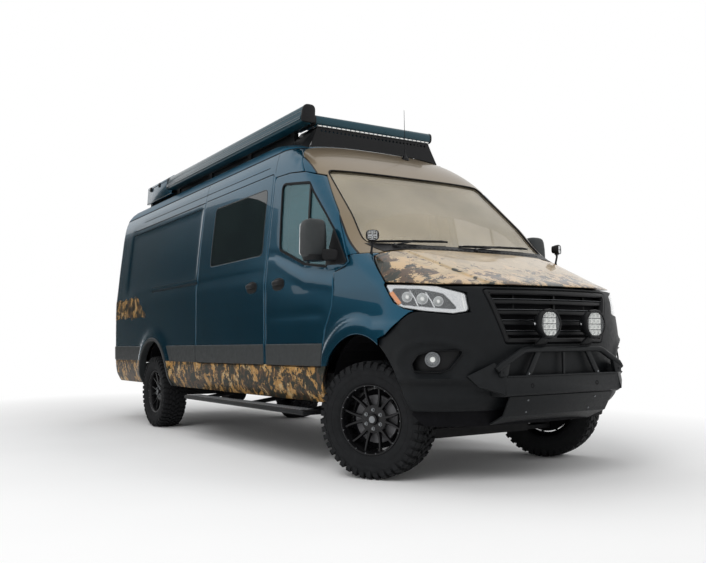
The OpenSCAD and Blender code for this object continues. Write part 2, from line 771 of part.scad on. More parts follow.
// Tube across the van between two points of y and z, its low end run on by 30
module tube_yz(x, a, b) {
  low = a[1] <= b[1] ? a : b;
  high = a[1] <= b[1] ? b : a;
  v = high - low;
  run_on = v[1] == 0 ? 0 : 30;
  translate([x, low[0], low[1]]) rotate([atan2(v[1], v[0]), 0, 0]) rotate([-90, 0, 0])
    translate([0, 0, -run_on]) cylinder(r = hoop_r, h = norm(v) + run_on);
}
module skid_plate() color([0.05, 0.05, 0.05])
  rotate([90, 0, 0]) translate([0, 0, -skid_y]) linear_extrude(2 * skid_y) polygon([
    [bumper_x - 20, bumper_low_z - seat], [bumper_x - 60, bumper_low_z - seat], [bumper_x - 124, 452],
    [bumper_x - 250, 400], [bumper_x - 262, 380], [bumper_x - 232, 380], [bumper_x - 92, 440]
  ]);

// Round driving lamps on the hoop and small lamps at the rear corners of the hood
module auxiliary_lamps() color([0.1, 0.1, 0.1]) {
  lamp_z = 1030;
  lamp_x = bumper_x + 2 * hoop_r;
  for (side = [-1, 1]) {
    translate([lamp_x - lamp_depth / 2, side * lamp_y, lamp_z]) rotate([0, 90, 0])
      cylinder(r = lamp_r, h = lamp_depth);
    block([hoop_x - hoop_r, side * lamp_y - 20, hoop_top_z + seat], [lamp_x, side * lamp_y + 20, lamp_z - 60]);
  }
}

module ditch_lamps() color([0.1, 0.1, 0.1]) for (side = [-1, 1]) difference() {
  mirrored_y(side) {
    block([46, 898, 1450], [70, 922, 1640]);
    translate([36, 892, 1668]) rotate([0, 0, 35]) rotate([0, 90, 0]) cylinder(r = 42, h = 56);
  }
  body_solid(-seat);
}

// Boards below the doors on brackets from the frame rails
step_y = 880;
step_front = -arch_r - 188;
step_rear = slider_rear_x - 190;
module side_steps() color([0.04, 0.04, 0.04]) for (side = [-1, 1]) mirrored_y(side) {
  rail_out = rail_y + rail_w / 2;
  block([step_rear, step_y, 380], [step_front, step_y + 180, 420]);
  for (k = [0.08, 0.5, 0.92])
    rotate([90, 0, 90]) translate([0, 0, step_rear + k * (step_front - step_rear) - 30]) linear_extrude(60) polygon([
      [rail_out + seat, 430], [step_y - seat, 384], [step_y - seat, 416],
      [rail_out + 40, 462], [rail_out + 40, 600], [rail_out + seat, 600]
    ]);
}

module rack_rails() color([0.04, 0.04, 0.04]) for (side = [-1, 1]) difference() {
  mirrored_y(side) union() {
    block([-5500, rack_y - 20, rack_z - 45], [-1300, rack_y + 20, rack_z]);
    block([-5490, rack_y - 6, 2650], [-1510, rack_y + 6, rack_z - 20]);
    for (x = [-5450, -4450, -3450, -2450, -1550])
      block([x - 40, rack_y - 20, 2650], [x + 40, rack_y + 20, rack_z - 20]);
  }
  body_solid(-seat);
}
// The crossbars reach past the rails by this
bar_over = 40;
module rack_crossbars() color([0.04, 0.04, 0.04])
  for (k = [0:crossbars - 1])
    translate([-5400 + k * 3900 / (crossbars - 1) - 35, -rack_y - bar_over, rack_z + seat])
      cube([70, 2 * (rack_y + bar_over), 30]);

// Awning case with rounded edges, on brackets from the rack rail
awning_z = rack_z - 72;
awning_y = rack_y + 130;
module awning() color([0.05, 0.13, 0.16]) {
  translate([-1060 - awning_l, -awning_y, awning_z]) rotate([90, 0, 90]) linear_extrude(awning_l)
    polygon(rounded([[-68, 0], [62, 0], [68, awning_h], [-40, awning_h]], 46));
  for (x = [-4200, -2900, -1700])
    block([x - 30, -awning_y + 56, awning_z + 50], [x + 30, -rack_y - 20 - seat, awning_z + 66]);
}

module roof_light_bar() color([0.03, 0.03, 0.03]) {
  bar_y(-1240, 2855, 42, -rack_y, rack_y);
  for (side = [-1, 1]) mirrored_y(side) {
    block([-1520, rack_y - 50, 2812], [-1235, rack_y - 20 - seat, 2838]);
    block([-1262, rack_y - 50, 2812], [-1218, rack_y - 20 - seat, 2860]);
  }
}

// Closed box along the right rear edge of the rack, with a skirt past the ends of the crossbars
module roof_box() color([0.05, 0.22, 0.27]) {
  skirt = 35;
  translate([-5480, -rack_y - bar_over - skirt, rack_z + seat + 30 + seat]) rotate([90, 0, 90]) linear_extrude(920)
    polygon([
      [0, -115], [skirt - seat, -115], [skirt - seat, 0], [380, 0], [380, 104], [364, 120], [36, 120], [20, 104]
    ]);
}

module roof_air_conditioner() color([0.75, 0.74, 0.7]) difference() {
  translate([-4230, 0, 2700]) linear_extrude(300)
    polygon(rounded([[-320, -300], [320, -300], [320, 300], [-320, 300]], 90));
  body_solid(-seat);
}

module antenna() color([0.02, 0.02, 0.02]) difference() {
  union() {
    translate([-1050, 217, 2500]) cylinder(r = 22, h = 110);
    translate([-1050, 217, 2600]) cylinder(r = 5, h = 420);
  }
  body_solid(-seat);
}

module wipers() color([0.02, 0.02, 0.02]) intersection() {
  skin(-22, -seat);
  union() {
    front_prism([[-760, 1634], [-740, 1614], [-100, 1702], [-100, 1720]], -400, 400);
    front_prism([[-60, 1634], [-40, 1614], [640, 1702], [640, 1720]], -400, 400);
  }
}

dash_y = half_w - wall - 133;
module dashboard() color([0.06, 0.06, 0.06]) difference() {
  rotate([90, 0, 0]) translate([0, 0, -dash_y]) linear_extrude(2 * dash_y) polygon([
    [20, 1480 + seat], [20, 1500], [-260, 1545], [-450, 1500], [-520, 1420], [-480, 1260],
    [-300, 1180], [-100 - seat, 1180], [-100 - seat, 1480 + seat]
  ]);
  hand_wheel_place() translate([0, 0, -220]) cylinder(r = 30 + seat, h = 220);
}
module hand_wheel_place() {
  translate([-640, seat_y, 1480]) rotate([0, -60, 0]) children();
}
module steering_wheel() color([0.04, 0.04, 0.04]) hand_wheel_place() {
  rotate_extrude() translate([hand_wheel_r, 0]) circle(r = 16);
  for (a = [90, 210, 330]) rotate([0, 0, a]) translate([0, -14, -6]) cube([hand_wheel_r, 28, 12]);
  translate([0, 0, -14]) cylinder(r = 60, h = 26);
  translate([0, 0, -190]) cylinder(r = 30, h = 180);
}

module front_seats() color([0.08, 0.08, 0.08]) for (side = [-1, 1])
  translate([-1080, side * seat_y, 0]) {
    block([-200, -180, floor_top + seat], [200, 180, 1000]);
    rotate([90, 0, 0]) translate([0, 0, -seat_w / 2]) linear_extrude(seat_w) polygon([
      [-230, 1000], [260, 1000], [290, 1060], [270, 1120], [-110, 1105], [-240, 1700],
      [-330, 1700], [-260, 1060]
    ]);
    rotate([90, 0, 0]) translate([0, 0, -140]) linear_extrude(280) polygon([
      [-250, 1690], [-240, 1740], [-265, 1920], [-350, 1920], [-320, 1690]
    ]);
  }

module rear_bumper() color([0.05, 0.05, 0.05]) difference() {
  translate([0, 0, 500]) linear_extrude(110) polygon([
    [body_rear - 45, -820], [body_rear - 45, 820], [body_rear + 30, 930], [body_rear + 150, 930],
    [body_rear + 150, -930], [body_rear + 30, -930]
  ]);
  body_solid(-seat);
  block([body_rear + 40, -940, 0], [0, 940, 2000]);
}

module placed() {
  translate([place_x, 0, 0]) children();
}

placed() chassis_frame();
placed() floor_pan();
placed() wheel_housings();
placed() body_side_left();
placed() body_side_right();
placed() roof_panel();
placed() windshield_frame();
placed() windshield();
placed() front_fenders();
placed() front_fascia();
placed() grille();
placed() front_lamps();
placed() hood();
placed() front_door_left();
placed() front_door_right();
placed() door_glass_left();
placed() door_glass_right();
placed() mirror_left();
placed() mirror_right();
placed() sliding_door();
placed() side_glass();
placed() rear_door_left();
placed() rear_door_right();
placed() rear_glass_left();
placed() rear_glass_right();
placed() tail_lamps();
placed() rear_bumper();
placed() steel_bumper();
placed() bumper_hoop();
placed() skid_plate();
placed() auxiliary_lamps();
placed() ditch_lamps();
placed() side_steps();
placed() rack_rails();
placed() rack_crossbars();
placed() awning();
placed() roof_light_bar();
placed() roof_box();
placed() roof_air_conditioner();
placed() antenna();
placed() wipers();
placed() dashboard();
placed() steering_wheel();
placed() front_seats();
placed() engine();
placed() front_axle();
placed() rear_axle();
placed() knuckle_left();
placed() knuckle_right();
placed() rim_front_left();
placed() rim_front_right();
placed() rim_rear_left();
placed() rim_rear_right();
placed() tyre_front_left();
placed() tyre_front_right();
placed() tyre_rear_left();
placed() tyre_rear_right();
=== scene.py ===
import math
import bpy
import bmesh
import numpy as np
from mathutils import Vector, Matrix
from mathutils.geometry import delaunay_2d_cdt


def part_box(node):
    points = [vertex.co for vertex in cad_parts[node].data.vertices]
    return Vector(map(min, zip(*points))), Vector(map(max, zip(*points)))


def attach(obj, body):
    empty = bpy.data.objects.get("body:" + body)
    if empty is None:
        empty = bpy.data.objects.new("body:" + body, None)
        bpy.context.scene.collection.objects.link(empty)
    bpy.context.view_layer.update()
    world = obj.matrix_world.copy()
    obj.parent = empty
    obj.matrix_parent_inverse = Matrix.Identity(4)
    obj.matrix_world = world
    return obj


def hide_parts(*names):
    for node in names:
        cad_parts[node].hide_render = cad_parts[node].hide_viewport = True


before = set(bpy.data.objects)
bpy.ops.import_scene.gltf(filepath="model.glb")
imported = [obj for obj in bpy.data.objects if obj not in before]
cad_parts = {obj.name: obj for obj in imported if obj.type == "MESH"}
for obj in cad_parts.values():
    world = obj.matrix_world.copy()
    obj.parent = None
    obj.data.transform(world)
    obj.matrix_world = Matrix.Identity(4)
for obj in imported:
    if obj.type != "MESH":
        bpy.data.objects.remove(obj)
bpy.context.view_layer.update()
SIDES = ((1, "left"), (-1, "right"))


def mid(node):
    lo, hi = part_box(node)
    return (Vector(lo) + Vector(hi)) / 2


# The front axle's place; all sizes below are millimetres from it, z from the ground.
AXLE_X = (mid("tyre_front_left").x + mid("tyre_front_right").x) * 500
REAR_X = mid("tyre_rear_left").x * 1000 - AXLE_X
# Steering pins stand this far inside the wheels; the front wheels stand turned about them
SCRUB = 90.0
KING_Y = mid("tyre_rear_left").y * 1000 - SCRUB
STEER = math.asin((AXLE_X - mid("tyre_front_left").x * 1000) / SCRUB)


def near(node):
    """A node's box in millimetres from the front axle."""
    lo, hi = [Vector(v) * 1000 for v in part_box(node)]
    shift = Vector((AXLE_X, 0, 0))
    return lo - shift, hi - shift


# Body sections: height, half width, front, bow of the front, power of its curve, rear, rear corner.
ROWS = np.array([
    [470, 930, 800, 480, 2.5, -5900, 90], [600, 985, 885, 560, 2.5, -5945, 110],
    [760, 1000, 910, 590, 2.5, -5954, 120], [930, 1003, 915, 610, 2.5, -5954, 120],
    [1150, 1003, 905, 620, 2.4, -5954, 120], [1280, 1003, 865, 620, 2.4, -5954, 120],
    [1360, 1002, 690, 560, 2.4, -5954, 120], [1450, 1000, 470, 480, 2.5, -5954, 120],
    [1539, 992, 235, 390, 2.8, -5954, 120], [1600, 985, 80, 320, 3.2, -5954, 120],
    [1899, 955, -245, 270, 3.4, -5954, 120], [2150, 925, -515, 260, 3.4, -5954, 120],
    [2330, 903, -710, 260, 3.3, -5954, 120], [2480, 875, -905, 280, 3.0, -5954, 120],
    [2600, 835, -1110, 320, 2.7, -5945, 140], [2680, 775, -1330, 360, 2.5, -5920, 180],
    [2730, 680, -1600, 380, 2.4, -5870, 220], [2760, 540, -1950, 360, 2.3, -5780, 240],
    [2775, 350, -2400, 300, 2.2, -5600, 240]], float)
SILL, ROOF = 470.0, 2775.0
WALL = 70.0


def slopes(x, y):
    h = np.diff(x)
    d = np.diff(y) / h
    m = np.zeros_like(y)
    m[0], m[-1] = d[0], d[-1]
    for i in range(1, len(x) - 1):
        if d[i - 1] * d[i] > 0:
            w1, w2 = 2 * h[i] + h[i - 1], h[i] + 2 * h[i - 1]
            m[i] = (w1 + w2) / (w1 / d[i - 1] + w2 / d[i])
    return m


SLOPES = [slopes(ROWS[:, 0], ROWS[:, k]) for k in range(7)]


def level(z):
    """The section at height z, each column a smooth curve through the rows."""
    z = np.clip(np.asarray(z, float), SILL, ROOF)
    x = ROWS[:, 0]
    i = np.clip(np.searchsorted(x, z, side="right") - 1, 0, len(x) - 2)
    h = x[i + 1] - x[i]
    t = (z - x[i]) / h
    out = []
    for k in range(1, 7):
        y, m = ROWS[:, k], SLOPES[k]
        out.append((2 * t**3 - 3 * t**2 + 1) * y[i] + (t**3 - 2 * t**2 + t) * h * m[i]
                   + (-2 * t**3 + 3 * t**2) * y[i + 1] + (t**3 - t**2) * h * m[i + 1])
    return out


def lifted(z, d):
    return SILL + (np.asarray(z, float) - SILL) * (ROOF - SILL) / (ROOF - SILL - d)


def side_point(x, z, d, s):
    """A point of the body side, s = 1 for the left, d inside the outer face."""
    hw, xf, bow, n, xr, r = level(lifted(z, d))
    hw, xf, xr, r = hw - d, xf - d, xr + d, np.maximum(r - d, 20)
    k = np.clip((xf - x) / bow, 0, 1)
    y = hw * np.clip(1 - (1 - k)**n, 0, 1)**(1 / n)
    c = np.clip((xr + r - x) / r, 0, 1)
    y = y - r * (1 - np.sqrt(np.clip(1 - c * c, 0, 1)))
    return np.stack([x + 0 * y, s * y, np.asarray(z, float) + 0 * y], -1)


def front_point(y, z, d):
    """A point of the nose or windscreen by its y and z."""
    hw, xf, bow, n, xr, r = level(lifted(z, d))
    t = np.clip(np.abs(y) / (hw - d), 0, 1)
    x = xf - d - bow * (1 - (1 - t**n)**(1 / n))
    return np.stack([x, y + 0 * x, np.asarray(z, float) + 0 * x], -1)


def rear_point(y, z, d):
    hw, xf, bow, n, xr, r = level(lifted(z, d))
    hw, xr, r = hw - d, xr + d, np.maximum(r - d, 20)
    c = np.clip((np.abs(y) - (hw - r)) / r, 0, 1)
    x = xr + r * (1 - np.sqrt(np.clip(1 - c * c, 0, 1)))
    return np.stack([x, y + 0 * x, np.asarray(z, float) + 0 * x], -1)


def metres(p):
    p = np.array(p, float).reshape(-1, 3)
    p[:, 0] += AXLE_X
    return p / 1000


# Mesh helpers
class Heap:
    """Gathers the points, in millimetres, and faces of several forms into one piece."""

    def __init__(self):
        self.v, self.f, self.m = [], [], []

    def add(self, verts, faces, m=0):
        """Adds a form; m is the place of its material, or one place per face."""
        n = len(self.v)
        self.v.extend(tuple(map(float, p)) for p in verts)
        self.f.extend([tuple(int(i) + n for i in f) for f in faces])
        self.m.extend(m if isinstance(m, list) else [m] * len(faces))
        return self

    def make(self, name, mats, body=None, nodes=(), sharp=35):
        """The mesh object with the materials named; it rides a body and stands for the CAD nodes."""
        me = bpy.data.meshes.new(name)
        me.from_pydata([tuple(v) for v in metres(self.v)], [], self.f)
        for key in mats:
            me.materials.append(M[key])
        bm = bmesh.new()
        bm.from_mesh(me)
        bmesh.ops.recalc_face_normals(bm, faces=bm.faces)
        bm.to_mesh(me)
        bm.free()
        me.polygons.foreach_set("material_index", np.array(self.m, np.int32))
        me.polygons.foreach_set("use_smooth", np.ones(len(me.polygons), bool))
        me.set_sharp_from_angle(angle=math.radians(sharp))
        me.update()
        ob = bpy.data.objects.new(name, me)
        bpy.context.scene.collection.objects.link(ob)
        if body:
            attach(ob, body)
        if nodes:
            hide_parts(*nodes)
        return ob


def rounded(pts, r, n=5):
    """The outline with its corners rounded; r may be one size or one per corner."""
    out = []
    m = len(pts)
    for i in range(m):
        p, a, b = np.array(pts[i], float), np.array(pts[i - 1], float), np.array(pts[(i + 1) % m], float)
        ri = r[i] if isinstance(r, (list, tuple)) else r
        u, w = (a - p), (b - p)
        lu, lw = np.linalg.norm(u), np.linalg.norm(w)
        u, w = u / lu, w / lw
        c = np.clip(np.dot(u, w), -1, 1)
        ang = math.acos(c)
        if ri <= 0 or ang > 3.1:
            out.append(tuple(p))
            continue
        cut = min(ri / math.tan(ang / 2), lu * 0.45, lw * 0.45)
        for k in range(n + 1):
            t = k / n
            q = (1 - t)**2 * (p + u * cut) + 2 * t * (1 - t) * p + t * t * (p + w * cut)
            out.append(tuple(q))
    return out


def area(p):
    p = np.array(p)
    return 0.5 * np.sum(p[:, 0] * np.roll(p[:, 1], -1) - np.roll(p[:, 0], -1) * p[:, 1])


def dense(pts, step, closed=True):
    """The closed outline, or the open run, with points added so that none lie further apart than step."""
    out = []
    for p, q in zip(pts, list(pts[1:]) + [pts[0]] if closed else pts[1:]):
        n = max(1, int(math.ceil(math.dist(p, q) / step)))
        out.extend([(p[0] + (q[0] - p[0]) * k / n, p[1] + (q[1] - p[1]) * k / n) for k in range(n)])
    return out if closed else out + [pts[-1]]


def offset(pts, d):
    """The closed outline moved inward by d; it runs anticlockwise."""
    p = np.array(pts, float)
    a, b = p - np.roll(p, 1, 0), np.roll(p, -1, 0) - p
    na = np.stack([-a[:, 1], a[:, 0]], 1) / np.maximum(np.linalg.norm(a, axis=1), 1e-9)[:, None]
    nb = np.stack([-b[:, 1], b[:, 0]], 1) / np.maximum(np.linalg.norm(b, axis=1), 1e-9)[:, None]
    n = na + nb
    n /= np.maximum(np.sum(n * na, 1), 0.45)[:, None]
    return p + n * d


def inside(poly, pts):
    """Which of the points lie in the outline."""
    p, q = np.array(poly, float), np.array(pts, float)
    hit = np.zeros(len(q), bool)
    for (x0, y0), (x1, y1) in zip(p, np.roll(p, -1, 0)):
        if y0 != y1:
            c = (y0 > q[:, 1]) != (y1 > q[:, 1])
            hit ^= c & (q[:, 0] < (x1 - x0) * (q[:, 1] - y0) / (y1 - y0) + x0)
    return hit


# A panel's edge rolls over at these angles; its second row of points and the gaps to it, in mm
ROLL = (60, 30, 0)
SECOND_ROW, ROW_GAP, GRID_GAP = 5, 3, 9


def between_rims(rims, pts):
    """Which of the points lie in the first outline and in none of the others."""
    ok = inside(rims[0], pts)
    for r in rims[1:]:
        ok &= ~inside(r, pts)
    return ok


def away(poly, pts):
    """How far each point lies from the outline."""
    p, q = np.array(poly, float), np.array(pts, float)
    best = np.full(len(q), 1e9)
    for a, b in zip(p, np.roll(p, -1, 0)):
        u = b - a
        t = np.clip(((q - a) @ u) / max(u @ u, 1e-9), 0, 1)
        best = np.minimum(best, np.linalg.norm(q - (a + t[:, None] * u), axis=1))
    return best


def panel(heap, outline, holes, surf, us, vs, depth, edge=3.5, press=0, m=0, inner=0, step=30):
    """A sheet piece with rolled edges: the outline with holes laid on surf(u, v, depth).

    us and vs give the inner grid; press sinks the sheet by a size or by press(u, v).
    """

    def loop(pts, hole):
        pts = list(map(tuple, np.array(pts, float)))
        if (area(pts) < 0) != hole:
            pts = pts[::-1]
        return dense(pts, step)

    def far(pts, least):
        return np.min([away(f, pts) for f in first], 0) > least

    loops = [loop(outline, False)] + [loop(h, True) for h in holes]
    first = [offset(l, edge) for l in loops]
    pts, edges = [], []
    for f in first:
        n = len(pts)
        pts.extend(map(tuple, f))
        edges.extend([(n + i, n + (i + 1) % len(f)) for i in range(len(f))])
    # A second row close to the rim keeps the rolled edge's shading narrow
    for l in loops:
        q = offset(l, edge + SECOND_ROW)
        pts.extend(map(tuple, q[between_rims(first, q) & far(q, ROW_GAP)]))
    grid = np.array([(u, v) for u in us for v in vs], float).reshape(-1, 2)
    pts.extend(map(tuple, grid[between_rims(loops, grid) & far(grid, GRID_GAP)]))
    co, _, tris, orig, _, _ = delaunay_2d_cdt([Vector(p) for p in pts], edges, [], 0, 1e-4)
    co, tris = np.array([tuple(c) for c in co]), np.array(tris)
    tris = tris[between_rims(first, co[tris].mean(1))]
    place = {o: i for i, origins in enumerate(orig) for o in origins}

    def lay(p, d):
        p = np.asarray(p)
        sink = press(p[:, 0], p[:, 1]) if callable(press) else press
        return surf(p[:, 0], p[:, 1], d + sink)

    verts = list(lay(co, 0.0))
    n = len(verts)
    verts += list(lay(co, depth))
    faces = [tuple(t) for t in tris] + [tuple(t + n) for t in tris]
    kinds = [m] * len(tris) + [inner] * len(tris)
    start = 0
    for l in loops:
        k = len(l)
        row = [place[start + i] for i in range(k)]
        start += k
        rows = [row]
        for t in map(math.radians, ROLL):
            rows.append(list(range(len(verts), len(verts) + k)))
            verts += list(lay(offset(l, edge * math.sin(t)), edge * (1 - math.cos(math.pi / 2 - t))))
        rows.append(list(range(len(verts), len(verts) + k)))
        verts += list(lay(np.array(l), depth - edge))
        rows.append([i + n for i in row])
        for j, (a, b) in enumerate(zip(rows, rows[1:])):
            for i in range(k):
                i2 = (i + 1) % k
                if len({a[i], a[i2], b[i2], b[i]}) == 4:
                    faces.append((a[i], a[i2], b[i2], b[i]))
                    kinds.append(m if j <= len(ROLL) else inner)
    return heap.add(verts, faces, kinds)


def lines(lo, hi, step, extra=()):
    """Even grid values from lo to hi, with some exact ones put in."""
    n = max(1, int(round((hi - lo) / step)))
    g = [lo + (hi - lo) * i / n for i in range(n + 1)]
    for e in extra:
        g = [v for v in g if abs(v - e) > step * 0.2] + [e]
    return sorted(g)


def sweep(heap, pts, r, n=10, m=0, closed=False, flat=1.0):
    """A tube along the points; r is a size or one per point; flat squeezes it in its second direction."""
    p = [Vector(q) for q in pts]
    rows = []
    up = None
    k = len(p)
    for i in range(k):
        a = p[i - 1] if (i or closed) else p[i]
        b = p[(i + 1) % k] if (i < k - 1 or closed) else p[i]
        t = (b - a).normalized()
        if up is None:
            up = Vector((0, 0, 1)) if abs(t.z) < 0.9 else Vector((0, 1, 0))
        s = t.cross(up).normalized()
        up = s.cross(t).normalized()
        ri = r[i] if isinstance(r, (list, tuple)) else r
        rows.append([p[i] + s * (ri * math.cos(2 * math.pi * j / n)) + up * (ri * flat * math.sin(2 * math.pi * j / n))
                     for j in range(n)])
    v = [q for row in rows for q in row]
    f = []
    for i in range(k if closed else k - 1):
        i2 = (i + 1) % k
        f += [(i * n + j, i * n + (j + 1) % n, i2 * n + (j + 1) % n, i2 * n + j) for j in range(n)]
    if not closed:
        f += [tuple(range(n))[::-1], tuple(range((k - 1) * n, k * n))]
    return heap.add(v, f, m)


def lathe(heap, prof, at, axis, n=32, m=0):
    """Turns the closed (radius, along) profile about an axis through a point."""
    ax = Vector(axis).normalized()
    e1 = Vector((0, 0, 1)) if abs(ax.z) < 0.9 else Vector((1, 0, 0))
    e1 = (e1 - ax * e1.dot(ax)).normalized()
    e2 = ax.cross(e1)
    o = Vector(at)
    k = len(prof)
    v, f = [], []
    for j in range(n):
        c, j2 = 2 * math.pi * j / n, (j + 1) % n
        d = e1 * math.cos(c) + e2 * math.sin(c)
        v += [o + d * r + ax * h for r, h in prof]
        f += [(j * k + i, j * k + (i + 1) % k, j2 * k + (i + 1) % k, j2 * k + i) for i in range(k)]
    return heap.add(v, f, m)


def take(heap, bm, r, n, m, place=None):
    """Rounds the edges of a small mesh by r and adds it; place turns or moves its points."""
    if r > 0:
        bmesh.ops.bevel(bm, geom=list(bm.edges), offset=r, segments=n, profile=0.5, affect="EDGES", clamp_overlap=True)
    v = [p.co.copy() for p in bm.verts]
    bm.verts.index_update()
    f = [[q.index for q in face.verts] for face in bm.faces]
    bm.free()
    if place:
        v = [place @ p if isinstance(place, Matrix) else place(p) for p in v]
    return heap.add(v, f, m)


def brick(heap, a, b, r=4, m=0, place=None):
    """A block between two corners with rounded edges."""
    lo, hi = np.minimum(a, b).astype(float), np.maximum(a, b).astype(float)
    bm = bmesh.new()
    bmesh.ops.create_cube(bm, size=1)
    bmesh.ops.scale(bm, vec=Vector(hi - lo), verts=bm.verts)
    bmesh.ops.translate(bm, vec=Vector((lo + hi) / 2), verts=bm.verts)
    return take(heap, bm, min(r, *((hi - lo) * 0.49)), 2, m, place)


def plate(heap, outline, to, t, r=3, m=0, holes=()):
    """A flat plate: the outline in its own plane, to(u, v, w) places it, w running through the thickness t."""

    def surf(u, v, d):
        return np.array([to(a, b, c) for a, b, c in zip(u, v, np.broadcast_to(d, np.shape(u)))])
    return panel(heap, outline, list(holes), surf, [], [], t, r, 0, m, m, 60)


def solid(h, pts, r=3.0, m=0):
    """The hull of a few points with its edges rounded."""
    bm = bmesh.new()
    for p in pts:
        bm.verts.new(p)
    res = bmesh.ops.convex_hull(bm, input=bm.verts)
    spare = set(res["geom_interior"] + res["geom_unused"])
    bmesh.ops.delete(bm, geom=[g for g in spare if isinstance(g, bmesh.types.BMVert)], context="VERTS")
    bmesh.ops.dissolve_limit(bm, angle_limit=0.03, verts=bm.verts, edges=bm.edges)
    return take(h, bm, r, 2, m)


def loft(h, rings, m=0):
    """Joins equal rings of points in turn and closes both ends."""
    n, k = len(rings[0]), len(rings) - 1
    v = [p for r in rings for p in r]
    f = [(i * n + j, i * n + (j + 1) % n, (i + 1) * n + (j + 1) % n, (i + 1) * n + j) for i in range(k)
         for j in range(n)]
    return h.add(v, f + [tuple(range(n))[::-1], tuple(range(k * n, (k + 1) * n))], m)


def bar(h, prof, axis, a, b, m=0, ends=6.0):
    """An outline run along x or y from a to b, its ends drawn in a little."""
    rings = []
    for t, k in ((a, 0.0), (a + ends * 0.3, 0.7), (a + ends, 1.0), (b - ends, 1.0), (b - ends * 0.3, 0.7), (b, 0.0)):
        q = offset(ccw(prof), ends * (1 - k) * 0.8)
        rings.append([(t, u, w) if axis == "x" else (u, t, w) for u, w in q])
    return loft(h, rings, m)


def pairs(*rows):
    """Each point and its mirror image in y."""
    return [(x, e * y, z) for x, y, z in rows for e in (-1, 1)]


def stud(h, at, axis, r=9, hgt=6, m=0):
    """A six-sided bolt head with a washer."""
    prof = [(0, 0), (1.45, 0), (1.45, 0.25), (1, 0.3), (1, 0.85), (0.8, 1), (0, 1)]
    lathe(h, [(r * a, hgt * b) for a, b in prof], at, axis, 6, m)


def oval(cx, cy, a, b, n=24, e=2.6):
    """A closed curve between an ellipse and a rectangle; e is its power."""
    out = []
    for i in range(n):
        t = 2 * math.pi * i / n
        c, s = math.cos(t), math.sin(t)
        out.append((cx + a * math.copysign(abs(c)**(2 / e), c), cy + b * math.copysign(abs(s)**(2 / e), s)))
    return out


def circle(n):
    """The angles of n even points round a circle."""
    return np.linspace(0, 2 * math.pi, n, endpoint=False)


# Materials
class Paint:
    """A node material built step by step on one Principled shader."""

    def __init__(self, name, rough=0.4, metal=0.0, **sockets):
        self.m = bpy.data.materials.new(name)
        self.m.use_nodes = True
        self.t = self.m.node_tree
        self.t.nodes.clear()
        self.out = self.t.nodes.new("ShaderNodeOutputMaterial")
        self.b = self.t.nodes.new("ShaderNodeBsdfPrincipled")
        self.t.links.new(self.b.outputs[0], self.out.inputs[0])
        self.b.inputs["Roughness"].default_value = rough
        self.b.inputs["Metallic"].default_value = metal
        for k, v in sockets.items():
            self.b.inputs[k.replace("_", " ")].default_value = v
        self.co = self.t.nodes.new("ShaderNodeTexCoord").outputs["Object"]

    def feed(self, socket, v):
        """Links an output to the socket, or sets its value."""
        if hasattr(v, "is_output"):
            self.t.links.new(v, socket)
        else:
            socket.default_value = (*v, 1) if isinstance(v, tuple) and len(v) == 3 and socket.type == "RGBA" else v

    def node(self, kind, **inputs):
        n = self.t.nodes.new(kind)
        for k, v in inputs.items():
            self.feed(n.inputs[k.replace("_", " ")], v)
        return n

    def noise(self, scale, detail=3.0, rough=0.5, warp=0.0, vec=None):
        n = self.node("ShaderNodeTexNoise", Vector=vec or self.co, Scale=scale, Detail=detail, Roughness=rough,
                      Distortion=warp)
        return n.outputs["Fac"]

    def ramp(self, fac, stops, step=False):
        n = self.node("ShaderNodeValToRGB", Fac=fac)
        r = n.color_ramp
        r.interpolation = "CONSTANT" if step else "LINEAR"
        while len(r.elements) < len(stops):
            r.elements.new(0.5)
        for e, (p, c) in zip(r.elements, stops):
            e.position = p
            e.color = (*c, 1) if isinstance(c, (tuple, list)) else (c, c, c, 1)
        return n.outputs["Color"]

    def math(self, op, a, b=0.0):
        n = self.t.nodes.new("ShaderNodeMath")
        n.operation = op
        for socket, v in zip(n.inputs, (a, b)):
            self.feed(socket, v)
        return n.outputs[0]

    def mix(self, fac, a, b):
        n = self.t.nodes.new("ShaderNodeMix")
        n.data_type = "RGBA"
        for i, v in ((0, fac), (6, a), (7, b)):
            self.feed(n.inputs[i], v)
        return n.outputs[2]

    def xyz(self):
        return self.node("ShaderNodeSeparateXYZ", Vector=self.co).outputs

    def put(self, name, v):
        self.feed(self.b.inputs[name], v)

    def color(self, c):
        self.put("Base Color", c)

    def rough(self, r):
        self.put("Roughness", r)

    def bump(self, h, strength=0.2, dist=0.001):
        n = self.node("ShaderNodeBump", Height=h, Strength=strength, Distance=dist)
        self.put("Normal", n.outputs["Normal"])


def shade(c, k):
    return tuple(min(1.0, v * k) for v in c)


def plain(name, c, rough=0.45, metal=0.0, scale=40.0, vary=0.12, grain=0.0, grain_scale=900.0, **sockets):
    """A one-colour finish with a little tone, gloss and grain variation."""
    p = Paint(name, rough, metal, **sockets)
    n = p.noise(scale, 4.0)
    p.color(p.ramp(n, [(0.3, shade(c, 1 - vary)), (0.7, shade(c, 1 + vary))]))
    p.rough(p.ramp(p.noise(scale * 2.3, 3.0), [(0.3, max(0.0, rough - 0.05)), (0.7, min(1.0, rough + 0.06))]))
    if grain:
        p.bump(p.noise(grain_scale, 2.0), grain, 0.0006)
    return p.m


CREAM, TAN, BROWN, DARK = (0.50, 0.36, 0.18), (0.43, 0.235, 0.070), (0.070, 0.038, 0.018), (0.012, 0.014, 0.008)


